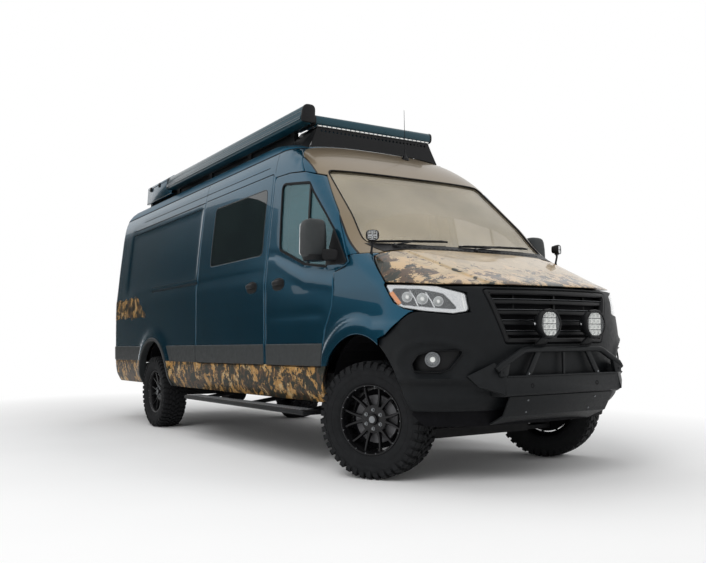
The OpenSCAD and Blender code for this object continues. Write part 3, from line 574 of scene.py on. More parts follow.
def camouflage(p, scale=5.0, shift=0.0, stretch=1.0, darks=0.5):
    """Blotches of four earth colours with ragged edges; darks is the share of the dark ones."""
    mp = p.node("ShaderNodeMapping", Vector=p.co)
    mp.inputs["Location"].default_value = (shift, shift * 0.7, shift * 1.3)
    mp.inputs["Scale"].default_value = (stretch, 1, 1)
    v = mp.outputs[0]
    a = p.noise(scale * 1.5, 8.0, 0.72, 0.5, v)
    b = p.noise(scale, 9.0, 0.74, 0.6, v)
    c = p.noise(scale * 1.9, 9.0, 0.74, 0.5, v)
    base = p.ramp(a, [(0.0, shade(TAN, 0.72)), (0.43, TAN), (0.55, CREAM)], True)
    base = p.mix(p.ramp(b, [(0.0, 1.0), (0.38 + 0.2 * darks, 0.0)], True), base,
                 p.mix(p.ramp(a, [(0.44, 0.0), (0.5, 1.0)], True), DARK, BROWN))
    return p.mix(p.ramp(c, [(0.0, 1.0), (0.32 + 0.2 * darks, 0.0)], True), base, DARK)


BRONZE = (0.185, 0.145, 0.095)
TEAL = (0.0016, 0.060, 0.108)
FLAKE_ROUGH, FLAKE_METAL = 0.24, 0.82
# Camouflage on the body, in metres: top of the sill, and the rear patch's heights and front end from the axle
SILL_PRINT, PATCH_LOW, PATCH_HIGH, PATCH_FRONT = 0.755, 1.27, 1.51, -4.60


def flake_paint(name, base, rough=FLAKE_ROUGH, coat=0.5, metal=FLAKE_METAL):
    """Deep paint with fine flakes under a clear coat."""
    p = Paint(name, rough, metal, Coat_Weight=coat, Coat_Roughness=0.02, Specular_IOR_Level=0.15)
    v = p.node("ShaderNodeTexVoronoi", Vector=p.co, Scale=2600.0).outputs["Color"]
    bw = p.node("ShaderNodeRGBToBW", Color=v).outputs[0]
    tone = p.mix(p.ramp(p.noise(1.3, 2.0), [(0.3, 0.0), (0.7, 1.0)]), shade(base, 0.92), shade(base, 1.1))
    p.color(p.mix(p.math("MULTIPLY", bw, 0.2), tone, shade(base, 1.8)))
    return p


def body_paint():
    """Flake paint with a camouflage sill below the band and a camouflage patch on the rear quarter."""
    p = flake_paint("paint_body", TEAL)
    base = p.b.inputs["Base Color"].links[0].from_socket
    x, y, z = p.xyz()
    low = p.math("LESS_THAN", z, SILL_PRINT)
    ragged = p.math("MULTIPLY", p.math("SUBTRACT", p.noise(9.0, 5.0, 0.65, 0.6), 0.5), 0.35)
    slope = p.math("ADD", p.math("MULTIPLY", p.math("SUBTRACT", z, PATCH_LOW), 1.45), ragged)
    back = p.math("LESS_THAN", p.math("ADD", x, slope), PATCH_FRONT + AXLE_X / 1000)
    wave = p.math("MULTIPLY", ragged, 0.5)
    under = p.math("LESS_THAN", p.math("ADD", z, wave), PATCH_HIGH)
    over = p.math("GREATER_THAN", p.math("ADD", z, wave), PATCH_LOW)
    patch = p.math("MULTIPLY", p.math("MULTIPLY", back, under), over)
    printed = p.math("MAXIMUM", low, patch)
    p.color(p.mix(printed, base, camouflage(p, 6.0, 0.0, 1.2, 0.70)))
    p.rough(p.math("ADD", FLAKE_ROUGH, p.math("MULTIPLY", printed, 0.2)))
    bare = p.math("SUBTRACT", 1.0, printed)
    p.put("Metallic", p.math("MULTIPLY", bare, FLAKE_METAL))
    p.put("Coat Weight", p.math("ADD", 0.1, p.math("MULTIPLY", bare, 0.4)))
    return p.m


def frame_paint():
    """Bronze round the windscreen and on the front of the roof, body colour outside of it."""
    p = flake_paint("paint_frame", BRONZE, 0.32, 0.4, 0.5)
    base = p.b.inputs["Base Color"].links[0].from_socket
    x, y, z = p.xyz()
    edge = p.math("MAXIMUM", 0.845, p.math("SUBTRACT", 1.170, p.math("MULTIPLY", z, 0.133)))
    past = p.math("SUBTRACT", p.math("ABSOLUTE", y), edge)
    tone = p.mix(p.math("GREATER_THAN", past, 0.0), base, TEAL)
    line = p.math("LESS_THAN", p.math("ABSOLUTE", past), 0.005)
    p.color(p.mix(line, tone, (0.006, 0.006, 0.006)))
    return p.m


def hood_paint():
    """Tan paint with camouflage along the front edge and the sides."""
    p = Paint("paint_hood", 0.3, 0.0, Coat_Weight=0.5, Coat_Roughness=0.05, Specular_IOR_Level=0.3)
    x, y, z = p.xyz()
    tan = (0.40, 0.30, 0.175)
    pale = p.ramp(p.noise(3.4, 8.0, 0.72, 0.5), [(0.0, shade(tan, 0.78)), (0.44, tan), (0.58, shade(tan, 1.2))], True)
    front = p.math("DIVIDE", p.math("SUBTRACT", x, AXLE_X / 1000 + 0.30), 0.6)
    side = p.math("DIVIDE", p.math("SUBTRACT", p.math("ABSOLUTE", y), 0.42), 0.5)
    near = p.math("MINIMUM", p.math("MAXIMUM", p.math("MAXIMUM", front, side), 0.0), 1.0)
    tone = pale
    for scale, least, more, c in ((7.0, 0.37, 0.20, (0.50, 0.345, 0.185)), (9.0, 0.35, 0.17, BROWN),
                                  (6.6, 0.33, 0.15, DARK)):
        spot = p.math("LESS_THAN", p.noise(scale, 9.0, 0.74, 0.5), p.math("ADD", least, p.math("MULTIPLY", near, more)))
        tone = p.mix(spot, tone, c)
    p.color(tone)
    return p.m


def glass(name, tint, alpha, rough=0.02, metal=0.0, coat=0.5):
    p = Paint(name, rough, metal, Alpha=alpha, Specular_IOR_Level=0.5, Coat_Weight=coat, Coat_Roughness=0.01)
    p.color(p.ramp(p.noise(2.0, 2.0), [(0.3, shade(tint, 0.85)), (0.7, shade(tint, 1.15))]))
    return p.m


M = {
    "paint": body_paint(),
    "teal": flake_paint("paint_teal", TEAL).m,
    "roof": flake_paint("paint_roof", TEAL, 0.42, 0.1, 0.6).m,
    "bronze": frame_paint(),
    "hood": hood_paint(),
    "clad": plain("cladding", (0.022, 0.025, 0.026), 0.5, 0.0, 14, 0.12, 0.25, 700, Specular_IOR_Level=0.35),
    "fascia": plain("fascia_plastic", (0.0058, 0.0068, 0.0078), 0.46, 0.0, 14, 0.12, 0.25, 700,
                    Specular_IOR_Level=0.16),
    "black": plain("black_plastic", (0.0055, 0.0058, 0.0065), 0.42, 0.0, 30, 0.15, 0.2, 800, Specular_IOR_Level=0.2),
    # Seal rubber; it also draws the dark lines of painted groove shade along the sides.
    "rubber": plain("seal_rubber_and_groove_shade", (0.005, 0.005, 0.006), 0.6, 0.0, 60, 0.2, Specular_IOR_Level=0.15),
    "steel": plain("black_steel", (0.0075, 0.0085, 0.0095), 0.46, 0.2, 25, 0.15, 0.35, 520, Specular_IOR_Level=0.22),
    "dark": plain("shadow_black", (0.004, 0.004, 0.005), 0.75, 0.0, 20, 0.2, Specular_IOR_Level=0.1),
    "chrome": plain("bright_metal", (0.62, 0.63, 0.64), 0.16, 1.0, 30, 0.05),
    "grey": plain("grey_metal", (0.22, 0.23, 0.24), 0.36, 0.9, 30, 0.08),
    "rim": plain("rim_black", (0.008, 0.008, 0.009), 0.3, 0.5, 40, 0.12, 0.0, 900, Specular_IOR_Level=0.3,
                 Coat_Weight=0.25, Coat_Roughness=0.15),
    "tyre": plain("tyre_rubber", (0.0105, 0.011, 0.012), 0.78, 0.0, 18, 0.18, 0.35, 900, Specular_IOR_Level=0.2),
    "glass": glass("tinted_glass", (0.008, 0.014, 0.016), 0.93, 0.02, 0.0, 0.3),
    # Tinted door glass; its colour is lightened as painted reflection of the sky.
    "door_tint_and_sky": glass("door_glass", (0.055, 0.17, 0.20), 0.5, 0.03, 0.6, 0.3),
    # The windscreen's tan colour is painted reflection of a pale sky.
    "screen": glass("screen_glass_painted_sky", (0.50, 0.435, 0.315), 0.5, 0.03, 0.65, 0.3),
    "lens": glass("clear_lens", (0.75, 0.78, 0.8), 0.08),
    "red": plain("red_lens", (0.30, 0.012, 0.012), 0.16, 0.0, 40, 0.1, Coat_Weight=0.8),
    "amber": plain("amber_lens", (0.65, 0.20, 0.015), 0.2, 0.0, 40, 0.1, Coat_Weight=0.6),
    "led": plain("led_white", (0.82, 0.83, 0.80), 0.22, 0.1, 60, 0.06),
    "white": plain("off_white", (0.60, 0.585, 0.54), 0.45, 0.0, 20, 0.06, 0.1, 500),
    "case": flake_paint("awning_teal", (0.008, 0.040, 0.056), 0.36, 0.4, 0.25).m,
    "cab": plain("cab_plastic", (0.030, 0.030, 0.032), 0.62, 0.0, 20, 0.15, 0.25, 600),
    "lining": plain("cab_lining", (0.19, 0.185, 0.175), 0.8, 0.0, 12, 0.1, 0.2, 400),
    "chassis": plain("chassis_black", (0.010, 0.010, 0.011), 0.62, 0.2, 12, 0.25, 0.3, 300, Specular_IOR_Level=0.25),
    "cast": plain("cast_metal", (0.11, 0.11, 0.115), 0.5, 0.7, 18, 0.2, 0.4, 260),
}
CAD_FINISH = {
    "chassis_frame": "chassis", "floor_pan": "cab", "wheel_housings": "dark", "engine": "cast", "front_axle": "chassis",
    "rear_axle": "chassis", "knuckle_left": "chassis", "knuckle_right": "chassis", "dashboard": "cab",
    "steering_wheel": "cab",
    "body_side_left": "paint", "body_side_right": "paint", "roof_panel": "roof", "windshield_frame": "bronze",
    "windshield": "screen", "front_fenders": "paint", "front_fascia": "black", "grille": "black", "front_lamps": "lens",
    "hood": "hood", "front_door_left": "paint", "front_door_right": "paint", "door_glass_left": "door_tint_and_sky",
    "door_glass_right": "door_tint_and_sky", "mirror_left": "black", "mirror_right": "black", "sliding_door": "paint",
    "side_glass": "glass", "rear_door_left": "paint", "rear_door_right": "paint", "rear_glass_left": "glass",
    "rear_glass_right": "glass", "tail_lamps": "red", "rear_bumper": "clad", "steel_bumper": "steel",
    "bumper_hoop": "steel", "skid_plate": "steel", "auxiliary_lamps": "black", "ditch_lamps": "black",
    "side_steps": "steel", "rack_rails": "steel", "rack_crossbars": "steel", "awning": "case",
    "roof_light_bar": "case", "roof_box": "case", "roof_air_conditioner": "white", "antenna": "black",
    "wipers": "black", "front_seats": "cab",
}
for name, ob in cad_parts.items():
    key = CAD_FINISH.get(name) or ("rim" if name.startswith("rim") else "tyre")
    ob.data.materials.clear()
    ob.data.materials.append(M[key])

# Ways to lay panels on the body: round the front by arc length, round the rear corner, over the roof
TURN = (0.5 - 0.5 * np.cos(np.linspace(0, math.pi, 121))) * math.pi / 2


def front_curve(z, d):
    hw, xf, bow, n, xr, r = level(lifted(z, d))
    e = (2 / n)[:, None]
    y = (hw - d)[:, None] * np.sin(TURN)[None, :]**e
    x = (xf - d)[:, None] - bow[:, None] * (1 - np.clip(np.cos(TURN), 0, 1)[None, :]**e)
    step = np.hypot(np.diff(x, axis=1), np.diff(y, axis=1))
    return x, y, np.concatenate([np.zeros((len(x), 1)), np.cumsum(step, 1)], 1)


def wrap_point(u, z, d):
    """A point at the length u along the section from the middle of the front, left positive."""
    u, z = np.atleast_1d(np.asarray(u, float)), np.atleast_1d(np.asarray(z, float))
    d = np.broadcast_to(np.asarray(d, float), u.shape)
    out = np.empty((len(u), 3))
    for i in range(0, len(u), 3000):
        k = slice(i, i + 3000)
        total = front_curve(z[k], 0 * d[k])[2][:, -1]
        x, y, run = front_curve(z[k], d[k])
        a = np.abs(u[k])
        t = np.minimum(a, total) * run[:, -1] / total
        rows = np.arange(len(t))
        j = np.clip((run <= t[:, None]).sum(1) - 1, 0, run.shape[1] - 2)
        w = (t - run[rows, j]) / np.maximum(run[rows, j + 1] - run[rows, j], 1e-9)
        out[k, 0] = x[rows, j] + w * (x[rows, j + 1] - x[rows, j]) - np.maximum(a - total, 0)
        out[k, 1] = np.sign(u[k]) * (y[rows, j] + w * (y[rows, j + 1] - y[rows, j]))
        out[k, 2] = z[k]
    return out


def run_at(value, z, how):
    """The length along the section where x, y or the corner distance has a value."""
    x, y, run = front_curve(np.array([float(z)]), np.array([0.0]))
    x, y, run = x[0], y[0], run[0]
    if how == "y":
        return float(np.interp(value, y, run))
    if how == "corner":
        c = x * math.cos(CORNER) - y * math.sin(CORNER)
        return float(np.interp(-value, -c, run))
    return float(run[-1] + x[-1] - value) if value < x[-1] else float(np.interp(-value, -x, run))


CORNER = math.radians(35.2)


def wrapped(pts, side, how="x", closed=True, step=16):
    """An outline, or an open run, of (x, z), (y, z) or (corner, z) points as (u, z) points."""
    return [(side * run_at(a, z, how), z) for a, z in dense(pts, step, closed)]


def both(half):
    """Mirrors an open run of (u, z) points that goes from the middle to a side; returns the full run."""
    return [(-u, z) for u, z in half[::-1]] + [(u, z) for u, z in half if u > 1e-6]


def mirrored(half, low, high):
    """The closed outline of a half that runs up one side, with its heights in the middle."""
    left = [(u, z) for u, z in half if u > 0]
    return left + [(0.0, high)] + [(-u, z) for u, z in left[::-1]] + [(0.0, low)]


def back_point(p, z, d, s):
    """Body side with the rear corner: p is x, and runs on round the corner and across the rear."""
    hw, xf, bow, n, xr, r = level(lifted(z, d))
    hw, xf, xr, r0 = hw - d, xf - d, xr + d, r
    r = np.maximum(r - d, 20)
    start = xr - d + r0
    k = np.clip((xf - p) / bow, 0, 1)
    y = hw * np.clip(1 - (1 - k)**n, 0, 1)**(1 / n)
    over = np.clip(start - p, 0, None)
    ang = np.clip(over / r0, 0, math.pi / 2)
    flat = np.clip(over - r0 * math.pi / 2, 0, None)
    x = np.where(over > 0, xr + r - r * np.sin(ang), p)
    y = np.where(over > 0, np.maximum(hw - r + r * np.cos(ang) - flat, 0), y)
    return np.stack([x, s * y, np.asarray(z, float) + 0 * x], -1)


def back_at(y, z):
    """The run p of back_point at which the rear has the half width y."""
    hw, xf, bow, n, xr, r = [float(v) for v in level(z)]
    if y > hw - r:
        return xr + r - r * (math.pi / 2 - math.asin(min(1, (y - hw + r) / r)))
    return xr + r - r * math.pi / 2 - (hw - r - y)


def roof_point(x, y, d):
    """The height of the roof over x and y, by halving."""
    x, y = np.asarray(x, float), np.abs(np.asarray(y, float))
    d = np.broadcast_to(np.asarray(d, float), x.shape)
    lo, hi = np.full(x.shape, 2300.0), ROOF - d
    for _ in range(34):
        z = (lo + hi) / 2
        hw, xf, bow, n, xr, r = level(lifted(z, d))
        k = np.clip((xf - d - x) / bow, 0, 1)
        w = (hw - d) * np.clip(1 - (1 - k)**n, 0, 1)**(1 / n)
        rr = np.maximum(r - d, 20)
        c = np.clip((xr + d + rr - x) / rr, 0, 1)
        w = w - rr * (1 - np.sqrt(np.clip(1 - c * c, 0, 1)))
        ok = (y <= w) & (x <= xf - d) & (x >= xr + d)
        lo, hi = np.where(ok, z, lo), np.where(ok, hi, z)
    return lo


def roof_z(x, y):
    return float(roof_point(np.array([float(x)]), np.array([float(y)]), 0.0)[0])


def spot(surf, a, b, d, *side):
    """One point of a surface."""
    return Vector(surf(np.array([float(a)]), np.array([float(b)]), np.array([float(d)]), *side)[0])


def side_on(s):
    return lambda u, v, d: side_point(u, v, d, s)


def back_on(s):
    return lambda u, v, d: back_point(u, v, d, s)


# Outlines: x and z on the sides, y and z at the front and rear, corner distance and z on the lamps
FRONT_DOOR = [(-1405, 750), (-490, 750), (-468, 905), (-428, 1035), (-376, 1115), (-334, 1190), (-312, 1290),
              (-312, 1440), (-150, 1474), (-105, 1500), (-165, 1594), (-365, 1895), (-700, 2245), (-870, 2300),
              (-1150, 2340), (-1405, 2350)]
FRONT_DOOR = rounded(FRONT_DOOR, [20, 20, 90, 90, 90, 90, 60, 40, 10, 8, 40, 60, 60, 60, 60, 45])
DOOR_WINDOW = rounded([(-1195, 1705), (-756, 1548), (-410, 1496), (-345, 1760), (-480, 1893), (-712, 2108),
                       (-790, 2195), (-1258, 2262)], [46, 40, 22, 22, 40, 60, 40, 46])
SAIL = [(-418, 1500), (-150, 1486), (-122, 1504), (-340, 1772)]
SLIDER = rounded([(-3000, 750), (-1450, 750), (-1450, 2390), (-3000, 2390)], 40)
SIDE_WINDOW = rounded([(-2700, 1688), (-1525, 1688), (-1540, 2275), (-2690, 2275)], 60)
SCREEN = rounded([(-875, 1628), (875, 1628), (785, 2305), (-785, 2305)], 60, 8)
REAR_DOOR = [(7, 705), (790, 705), (790, 2440), (7, 2440)]
REAR_WINDOW = rounded([(130, 1680), (680, 1680), (660, 2260), (130, 2260)], 60)
GRILLE = rounded([(-445, 905), (445, 905), (575, 1258), (-575, 1258)], 26)
HEADLAMP = [(-219, 1184), (-144, 1142), (-5, 1116), (176, 1097), (269, 1112), (246, 1230), (70, 1281), (-297, 1308)]
FOG_CUT = rounded([(-70, 742), (90, 736), (150, 756), (236, 866), (40, 862), (-45, 836), (-84, 784)], 16)
FOG_Y, FOG_Z = 873, 812
ARCH_R, ARCH_Z = 492, 490
HOOD_REAR = 95
# Heights of the body's foot, the door sills, the roof seam and the fascia's top; the rear face; the rolled edge at the
# panel gaps
FOOT, DOOR_FOOT, SEAM, FASCIA_TOP = 480, 743, 2577, 1274
REAR_FACE = -5954
SIDE_EDGE = 2.2


def ccw(p):
    """The outline run anticlockwise."""
    return list(p) if area(p) > 0 else list(p)[::-1]


def grown(p, d):
    """The outline grown by d."""
    return [tuple(q) for q in offset(ccw(p), -d)]


def arch_run(x0, r, z_end0, z_end1, n=26):
    """Arch points from the front foot at height z_end0 over the top to the rear foot."""
    a0, a1 = math.asin((z_end0 - ARCH_Z) / r), math.pi - math.asin((z_end1 - ARCH_Z) / r)
    turn = [a0 + (a1 - a0) * i / n for i in range(n + 1)]
    return [(x0 + r * math.cos(a), ARCH_Z + r * math.sin(a)) for a in turn]


def groove(v, at, width, deep):
    return deep * np.exp(-((v - at) / width)**2)


def between(u, lo, hi, soft=25.0):
    """One from lo to hi and nought outside, over soft edges."""
    rise, fall = np.clip((u - lo) / soft, -40, 40), np.clip((hi - u) / soft, -40, 40)
    return 1 / (1 + np.exp(-rise)) / (1 + np.exp(-fall))


def side_press(u, v):
    """Pressed lines of the side: rail line, window field, waist line and the rear wheel flare."""
    s = groove(v, 2385, 9, 6) * between(u, -5420, -3050) + groove(v, 2468, 8, 4) * between(u, -5060, -1560)
    s = s + 7 * between(v, 1612, 2328, 7) * between(u, -5420, -3060, 12)
    s = s + 8 * between(v, 1530, 1562, 6) * between(u, -4960, -1500, 60)
    s = s - 3 * between(v, 1430, 1526, 16) * between(u, -5300, -1500, 60)
    s = s + 4 * between(v, 1240, 1270, 10) * between(u, -5300, -1480, 60)
    return s - rear_flare(u, v) * between(v, 480, 1400, 30)


def rear_flare(u, v):
    return 18 * between(np.hypot(u - REAR_X, v - ARCH_Z), 430, 610, 16)


SIDE_V = lines(480, 2578, 46, (1518, 1525, 1531, 1538, 1556, 1563, 1604, 1612, 1620, 2320, 2328, 2336, 2376, 2385,
                               2394, 2460, 2468, 2476))


def body_side(s, tag):
    h = Heap()
    wheel = arch_run(REAR_X, ARCH_R, FOOT + 2, FOOT + 2)
    low = [(back_at(3, FOOT), FOOT), (REAR_X - ARCH_R + 2, FOOT)] + wheel[::-1][1:-1]
    low += [(REAR_X + ARCH_R - 2, FOOT), (-566, FOOT), (-566, DOOR_FOOT), (-1412, DOOR_FOOT)]
    door = [(-1412, 2357), (-1150, 2347), (-905, 2314)]
    top = [(-1026, 2469), (-1168, SEAM), (back_at(3, SEAM), SEAM), (back_at(3, 2449), 2449)]
    tail = [(back_at(797, z), z) for z in np.linspace(2449, 698, 40)] + [(back_at(3, 698), 698)]
    slider_hole = rounded([(-3007, DOOR_FOOT), (-1443, DOOR_FOOT), (-1443, 2397), (-3007, 2397)], 45)
    heights = np.linspace(1047, 1753, 12)
    lamp = [(-5866, z) for z in heights] + [(back_at(827, z), z) for z in np.linspace(1753, 1047, 12)]
    us = lines(-6950, -5830, 60) + lines(-5790, -580, 60, (-5432, -5408, -3072, -3048))
    us = sorted(us + [-5800 - 22 * i for i in range(12)])
    panel(h, low + door + top + tail, [slider_hole if s < 0 else SIDE_WINDOW, lamp], back_on(s), us, SIDE_V, WALL,
          SIDE_EDGE, side_press, 0, 1)
    h.make("side_skin_" + tag, ["paint", "lining"], "van", ["body_side_" + tag], sharp=50)


def slider():
    h = Heap()
    panel(h, SLIDER, [SIDE_WINDOW], side_on(-1), lines(-3000, -1450, 55), SIDE_V, WALL, SIDE_EDGE, side_press, 0, 1)
    h.make("slider_skin", ["paint", "lining"], "van", ["sliding_door"], sharp=50)


def door_press(u, v):
    """The belt crease of the front door, falling toward the front."""
    belt = np.interp(u, [-1405, -1253, -743, -360, -100], [1650, 1632, 1461, 1409, 1396])
    crease = 7 * between(v, belt, belt + 60, 6) - 4 * between(v, belt - 80, belt - 4, 14)
    return crease + 5 * between(v, 1130, 1165, 12) * between(u, -1390, -480)


def front_door(s, tag):
    h = Heap()
    panel(h, FRONT_DOOR, [DOOR_WINDOW], side_on(s), lines(-1405, -110, 34), lines(755, 2345, 26), WALL, SIDE_EDGE,
          door_press, 0, 1)
    h.make("door_skin_" + tag, ["paint", "lining"], "door_" + tag, ["front_door_" + tag], sharp=50)


def pane(name, outline, surf, deep, thick, body, nodes, mat, us, vs):
    """A sheet of glass, deep below the outer face."""
    h = Heap()
    panel(h, outline, [], surf, us, vs, thick, 1.5, deep)
    h.make(name, [mat], body, nodes, sharp=50)


def ring(h, outline, out, into, surf, deep, thick, m=0, edge=1.5):
    """A strip along an outline, reaching out and into it."""
    panel(h, grown(outline, out), [grown(outline, -into)], surf, [], [], thick, edge, deep, m, m, 24)


def front_x(z):
    return float(level(z)[1])


def hood_line(x):
    return float(np.interp(x, [95, 340, 660, 995], [1530, 1322, 1292, 1282]))


def low_run(gap, x_end):
    """The hood's lower border from the middle to a side, moved down by gap."""
    x0 = 860.0
    for _ in range(40):
        x0 = 0.5 * x0 + 0.5 * front_x(hood_line(x0) - gap)
    out = []
    for i in range(61):
        x = x0 - (x0 - x_end) * (i / 60)**2
        z = hood_line(x) - gap
        out.append((run_at(x, z, "x") if i else 0.0, z))
    return out


def level_run(x, z_side):
    """The line of constant x from the middle, where it is highest, to a side at z_side."""
    lo, hi = 1400.0, 2700.0
    for _ in range(50):
        z = (lo + hi) / 2
        lo, hi = (z, hi) if front_x(z) > x else (lo, z)
    out = []
    for i in range(41):
        z = lo - (lo - z_side) * (i / 40)**2
        out.append((run_at(x, z, "x") if i else 0.0, z))
    return out


def hood_press(u, v):
    """Two folds run from the cowl to the grille and raise the middle."""
    fold = np.interp(v, [1285, 1400, 1530, 1600], [505, 575, 640, 670])
    return -13 * between(np.abs(u), -fold, fold, 7) + 4 * groove(np.abs(u), 0, 260, 1)


def hood():
    h = Heap()
    low, high = both(low_run(0, HOOD_REAR)), both(level_run(HOOD_REAR, 1530))
    folds = [s * f for f in np.linspace(495, 680, 26) for s in (-1, 1)]
    panel(h, low + high[::-1][1:-1], [], wrap_point, sorted(lines(-900, 900, 34) + folds), lines(1285, 1598, 13),
          35, 4, hood_press, 0, 1)
    h.make("hood_skin", ["hood", "black"], "hood", ["hood"], sharp=50)


def lamp_outline(g, side):
    """The headlamp's outline grown by g."""
    return wrapped(rounded(grown(HEADLAMP, g), [20, 30, 60, 40, 26, 30, 60, 14]), side, "corner")


def fender_press(u, v):
    """The flare over the front wheel."""
    p = np.abs(u)
    flare = np.hypot(np.interp(p, [run_at(200, 900, "x"), run_at(-600, 900, "x")], [200, -600]), v - ARCH_Z)
    return -24 * between(flare, 430, 596, 9) * (v > 480)


def fenders():
    lamp = [(572, 1121), (500, 1140), (424, 1183), (331, 1304)]
    hood_edge = [(x, hood_line(x) - 7) for x in (334, 300, 240, 170, 95)]
    door = [(-94, 1548), (-97, 1504), (-147, 1466), (-305, 1433), (-305, 1290), (-327, 1187), (-369, 1111),
            (-421, 1031), (-461, 903), (-483, DOOR_FOOT), (-557, DOOR_FOOT)]
    wheel = [q for q in arch_run(0, ARCH_R, FOOT + 2, FOOT + 2, 40)[::-1] if q[0] < 262]
    fascia_edge = [(265, 904), (265, 950), (350, 975), (540, 1111)]
    outline = [(-557, FOOT), (-490, FOOT)] + wheel[1:] + fascia_edge + lamp + hood_edge + [(95, 1548)] + door
    for s, tag in SIDES:
        h = Heap()
        panel(h, wrapped(outline, s), [], wrap_point, [s * v for v in lines(500, 2100, 20)], lines(490, 1540, 18),
              WALL, 2.4, fender_press, 0, 1)
        h.make("fender_skin_" + tag, ["paint", "black"], "van", ["front_fenders"], sharp=50)


FOG_RUN = run_at(FOG_Y, FOG_Z, "y")


def fascia_press(u, v):
    """A raised brow round each fog lamp, a ledge below it and a chin line."""
    p = np.abs(u)
    far = np.hypot((p - FOG_RUN) / 250, (v - 806) / 122)
    brow = -10 * np.exp(-((far - 1.0) / 0.16)**2) * (v > 690) + 9 * between(far, -1, 0.86, 0.05)
    ledge = -16 * between(v, 664, 702, 6) * between(p, 560, 1330, 40)
    ledge = ledge + 14 * between(v, 596, 658, 8) * between(p, 560, 1330, 60)
    return brow + ledge - 12 * between(v, 484, 560, 10)


def wrapped_y(pts, step=16):
    """A closed outline of (y, z) points as (u, z) points."""
    return [(math.copysign(run_at(abs(y), z, "y"), y), z) for y, z in dense(pts, step)]


def fascia():
    h = Heap()
    lamp = wrapped([(-36, 1115), (176, 1092), (274, 1108), (251, 1232), (96, FASCIA_TOP)], 1, "corner", False, 14)
    wheel = [q for q in arch_run(0, ARCH_R, 505, 900, 24) if q[0] > 270]
    fender = [(271, 905), (271, 947), (352, 968), (541, 1104), (566, 1112)]
    side = wrapped([(490, FOOT), (488, 500)] + wheel + fender, 1, "x", False, 14)
    foot = [(side[0][0] * t, FOOT) for t in (0.25, 0.5, 0.75)]
    top = [(run_at(96, FASCIA_TOP, "corner") * t, FASCIA_TOP) for t in (0.8, 0.6, 0.4, 0.2)]
    fogs = [wrapped(FOG_CUT, s, "corner") for s in (1, -1)]
    panel(h, mirrored(foot + side + lamp + top, FOOT, FASCIA_TOP), [wrapped_y(GRILLE)] + fogs, wrap_point,
          lines(-1600, 1600, 20), lines(484, 1270, 14), 45, 5, fascia_press)
    for s, fog in zip((1, -1), fogs):
        panel(h, wrapped(grown(FOG_CUT, 8), s, "corner"), [], wrap_point, lines(-1600, 1600, 26), lines(760, 880, 20),
              5, 1, 42, 1, 1)
        ring(h, fog, 9, -1, wrap_point, -3, 9, 1, 3)
    h.make("fascia_skin", ["fascia", "black"], "van", ["front_fascia"], sharp=50)


def grille():
    h = Heap()
    out, into = wrapped_y(grown(GRILLE, -2)), wrapped_y(grown(GRILLE, -36))
    panel(h, out, [into], wrap_point, [], [], 46, 9, -4)
    panel(h, into, [], wrap_point, lines(-700, 700, 40), lines(900, 1260, 40), 4, 1, 48, 1, 1)
    for z in (972, 1040, 1108, 1176):
        half = 445 + (z - 905) * 130 / 353 - 30
        # Each blade, and the bright line on it: height above z, depth, thickness, height and material
        for dz, dp, t, hgt, m in ((0, 10, 36, 27, 0), (18.5, 7, 14, 3.5, 2)):
            low, high = dz - hgt / 2, dz + hgt / 2
            prof = [(dp + 5, low), (dp, low + min(6, hgt / 3)), (dp, high - min(4, hgt / 3)), (dp + 4, high),
                    (dp + t, high), (dp + t, low)]
            loft(h, [[spot(front_point, y, z + q, p) for p, q in prof] for y in np.linspace(-half, half, 41)], m)
    for y in (-330, 0, 330):
        x = front_x(1080) - 60 - abs(y) * 0.12
        brick(h, (x, y - 7, 915), (x + 26, y + 7, 1250), 3)
    h.make("grille_bars", ["black", "dark", "grey"], "van", ["grille"], sharp=40)


def cap_x(z):
    """Where the front roof cap ends at a height."""
    return -1165 - (z - 2580) * 0.625


def cap_run(gap):
    """Rear border of the front roof cap from the middle to the side at the roof seam."""
    lo, hi = 2500.0, 2760.0
    for _ in range(50):
        z = (lo + hi) / 2
        lo, hi = (z, hi) if front_x(z) > cap_x(z) - gap else (lo, z)
    heights = [lo - (lo - 2580) * (i / 40)**2 for i in range(41)]
    return [(run_at(cap_x(z) - gap, z, "x") if i else 0.0, z) for i, z in enumerate(heights)]


def screen_frame():
    h = Heap()
    low = level_run(HOOD_REAR - 7, 1548)
    side = wrapped([(88, 1548), (-127, 1548), (-158, 1598), (-358, 1899), (-695, 2251), (-884, 2309), (-1020, 2465),
                    (-1163, 2578)], 1, "x", False, 14)
    half = low + side[1:] + cap_run(0)[::-1][1:]
    panel(h, mirrored(half, low[0][1], half[-1][1]), [wrapped_y(SCREEN)], wrap_point, lines(-1400, 1400, 32),
          lines(1552, 2640, 30), 60, 4, 0, 0, 1)
    h.make("cab_frame_skin", ["bronze", "lining"], "van", ["windshield_frame"], sharp=50)
    pane("screen_pane", wrapped_y(grown(SCREEN, -1)), wrap_point, 10, 6, "van", ["windshield"], "screen",
         lines(-1100, 1100, 45), lines(1620, 2310, 40))
    h = Heap()
    panel(h, wrapped_y(grown(SCREEN, 3)), [wrapped_y(grown(SCREEN, -7))], wrap_point, [], [], 10, 3, -2)
    h.make("screen_seal", ["rubber"], "van", [], sharp=50)


ROOF_RIBS = (0, 190, 380, 570)


def roof_press(u, v):
    """Long ribs pressed into the roof."""
    a = np.abs(v)
    return 9 * sum(between(a, c - 34, c + 34, 5) for c in ROOF_RIBS) * between(u, -5700, -1750, 14)


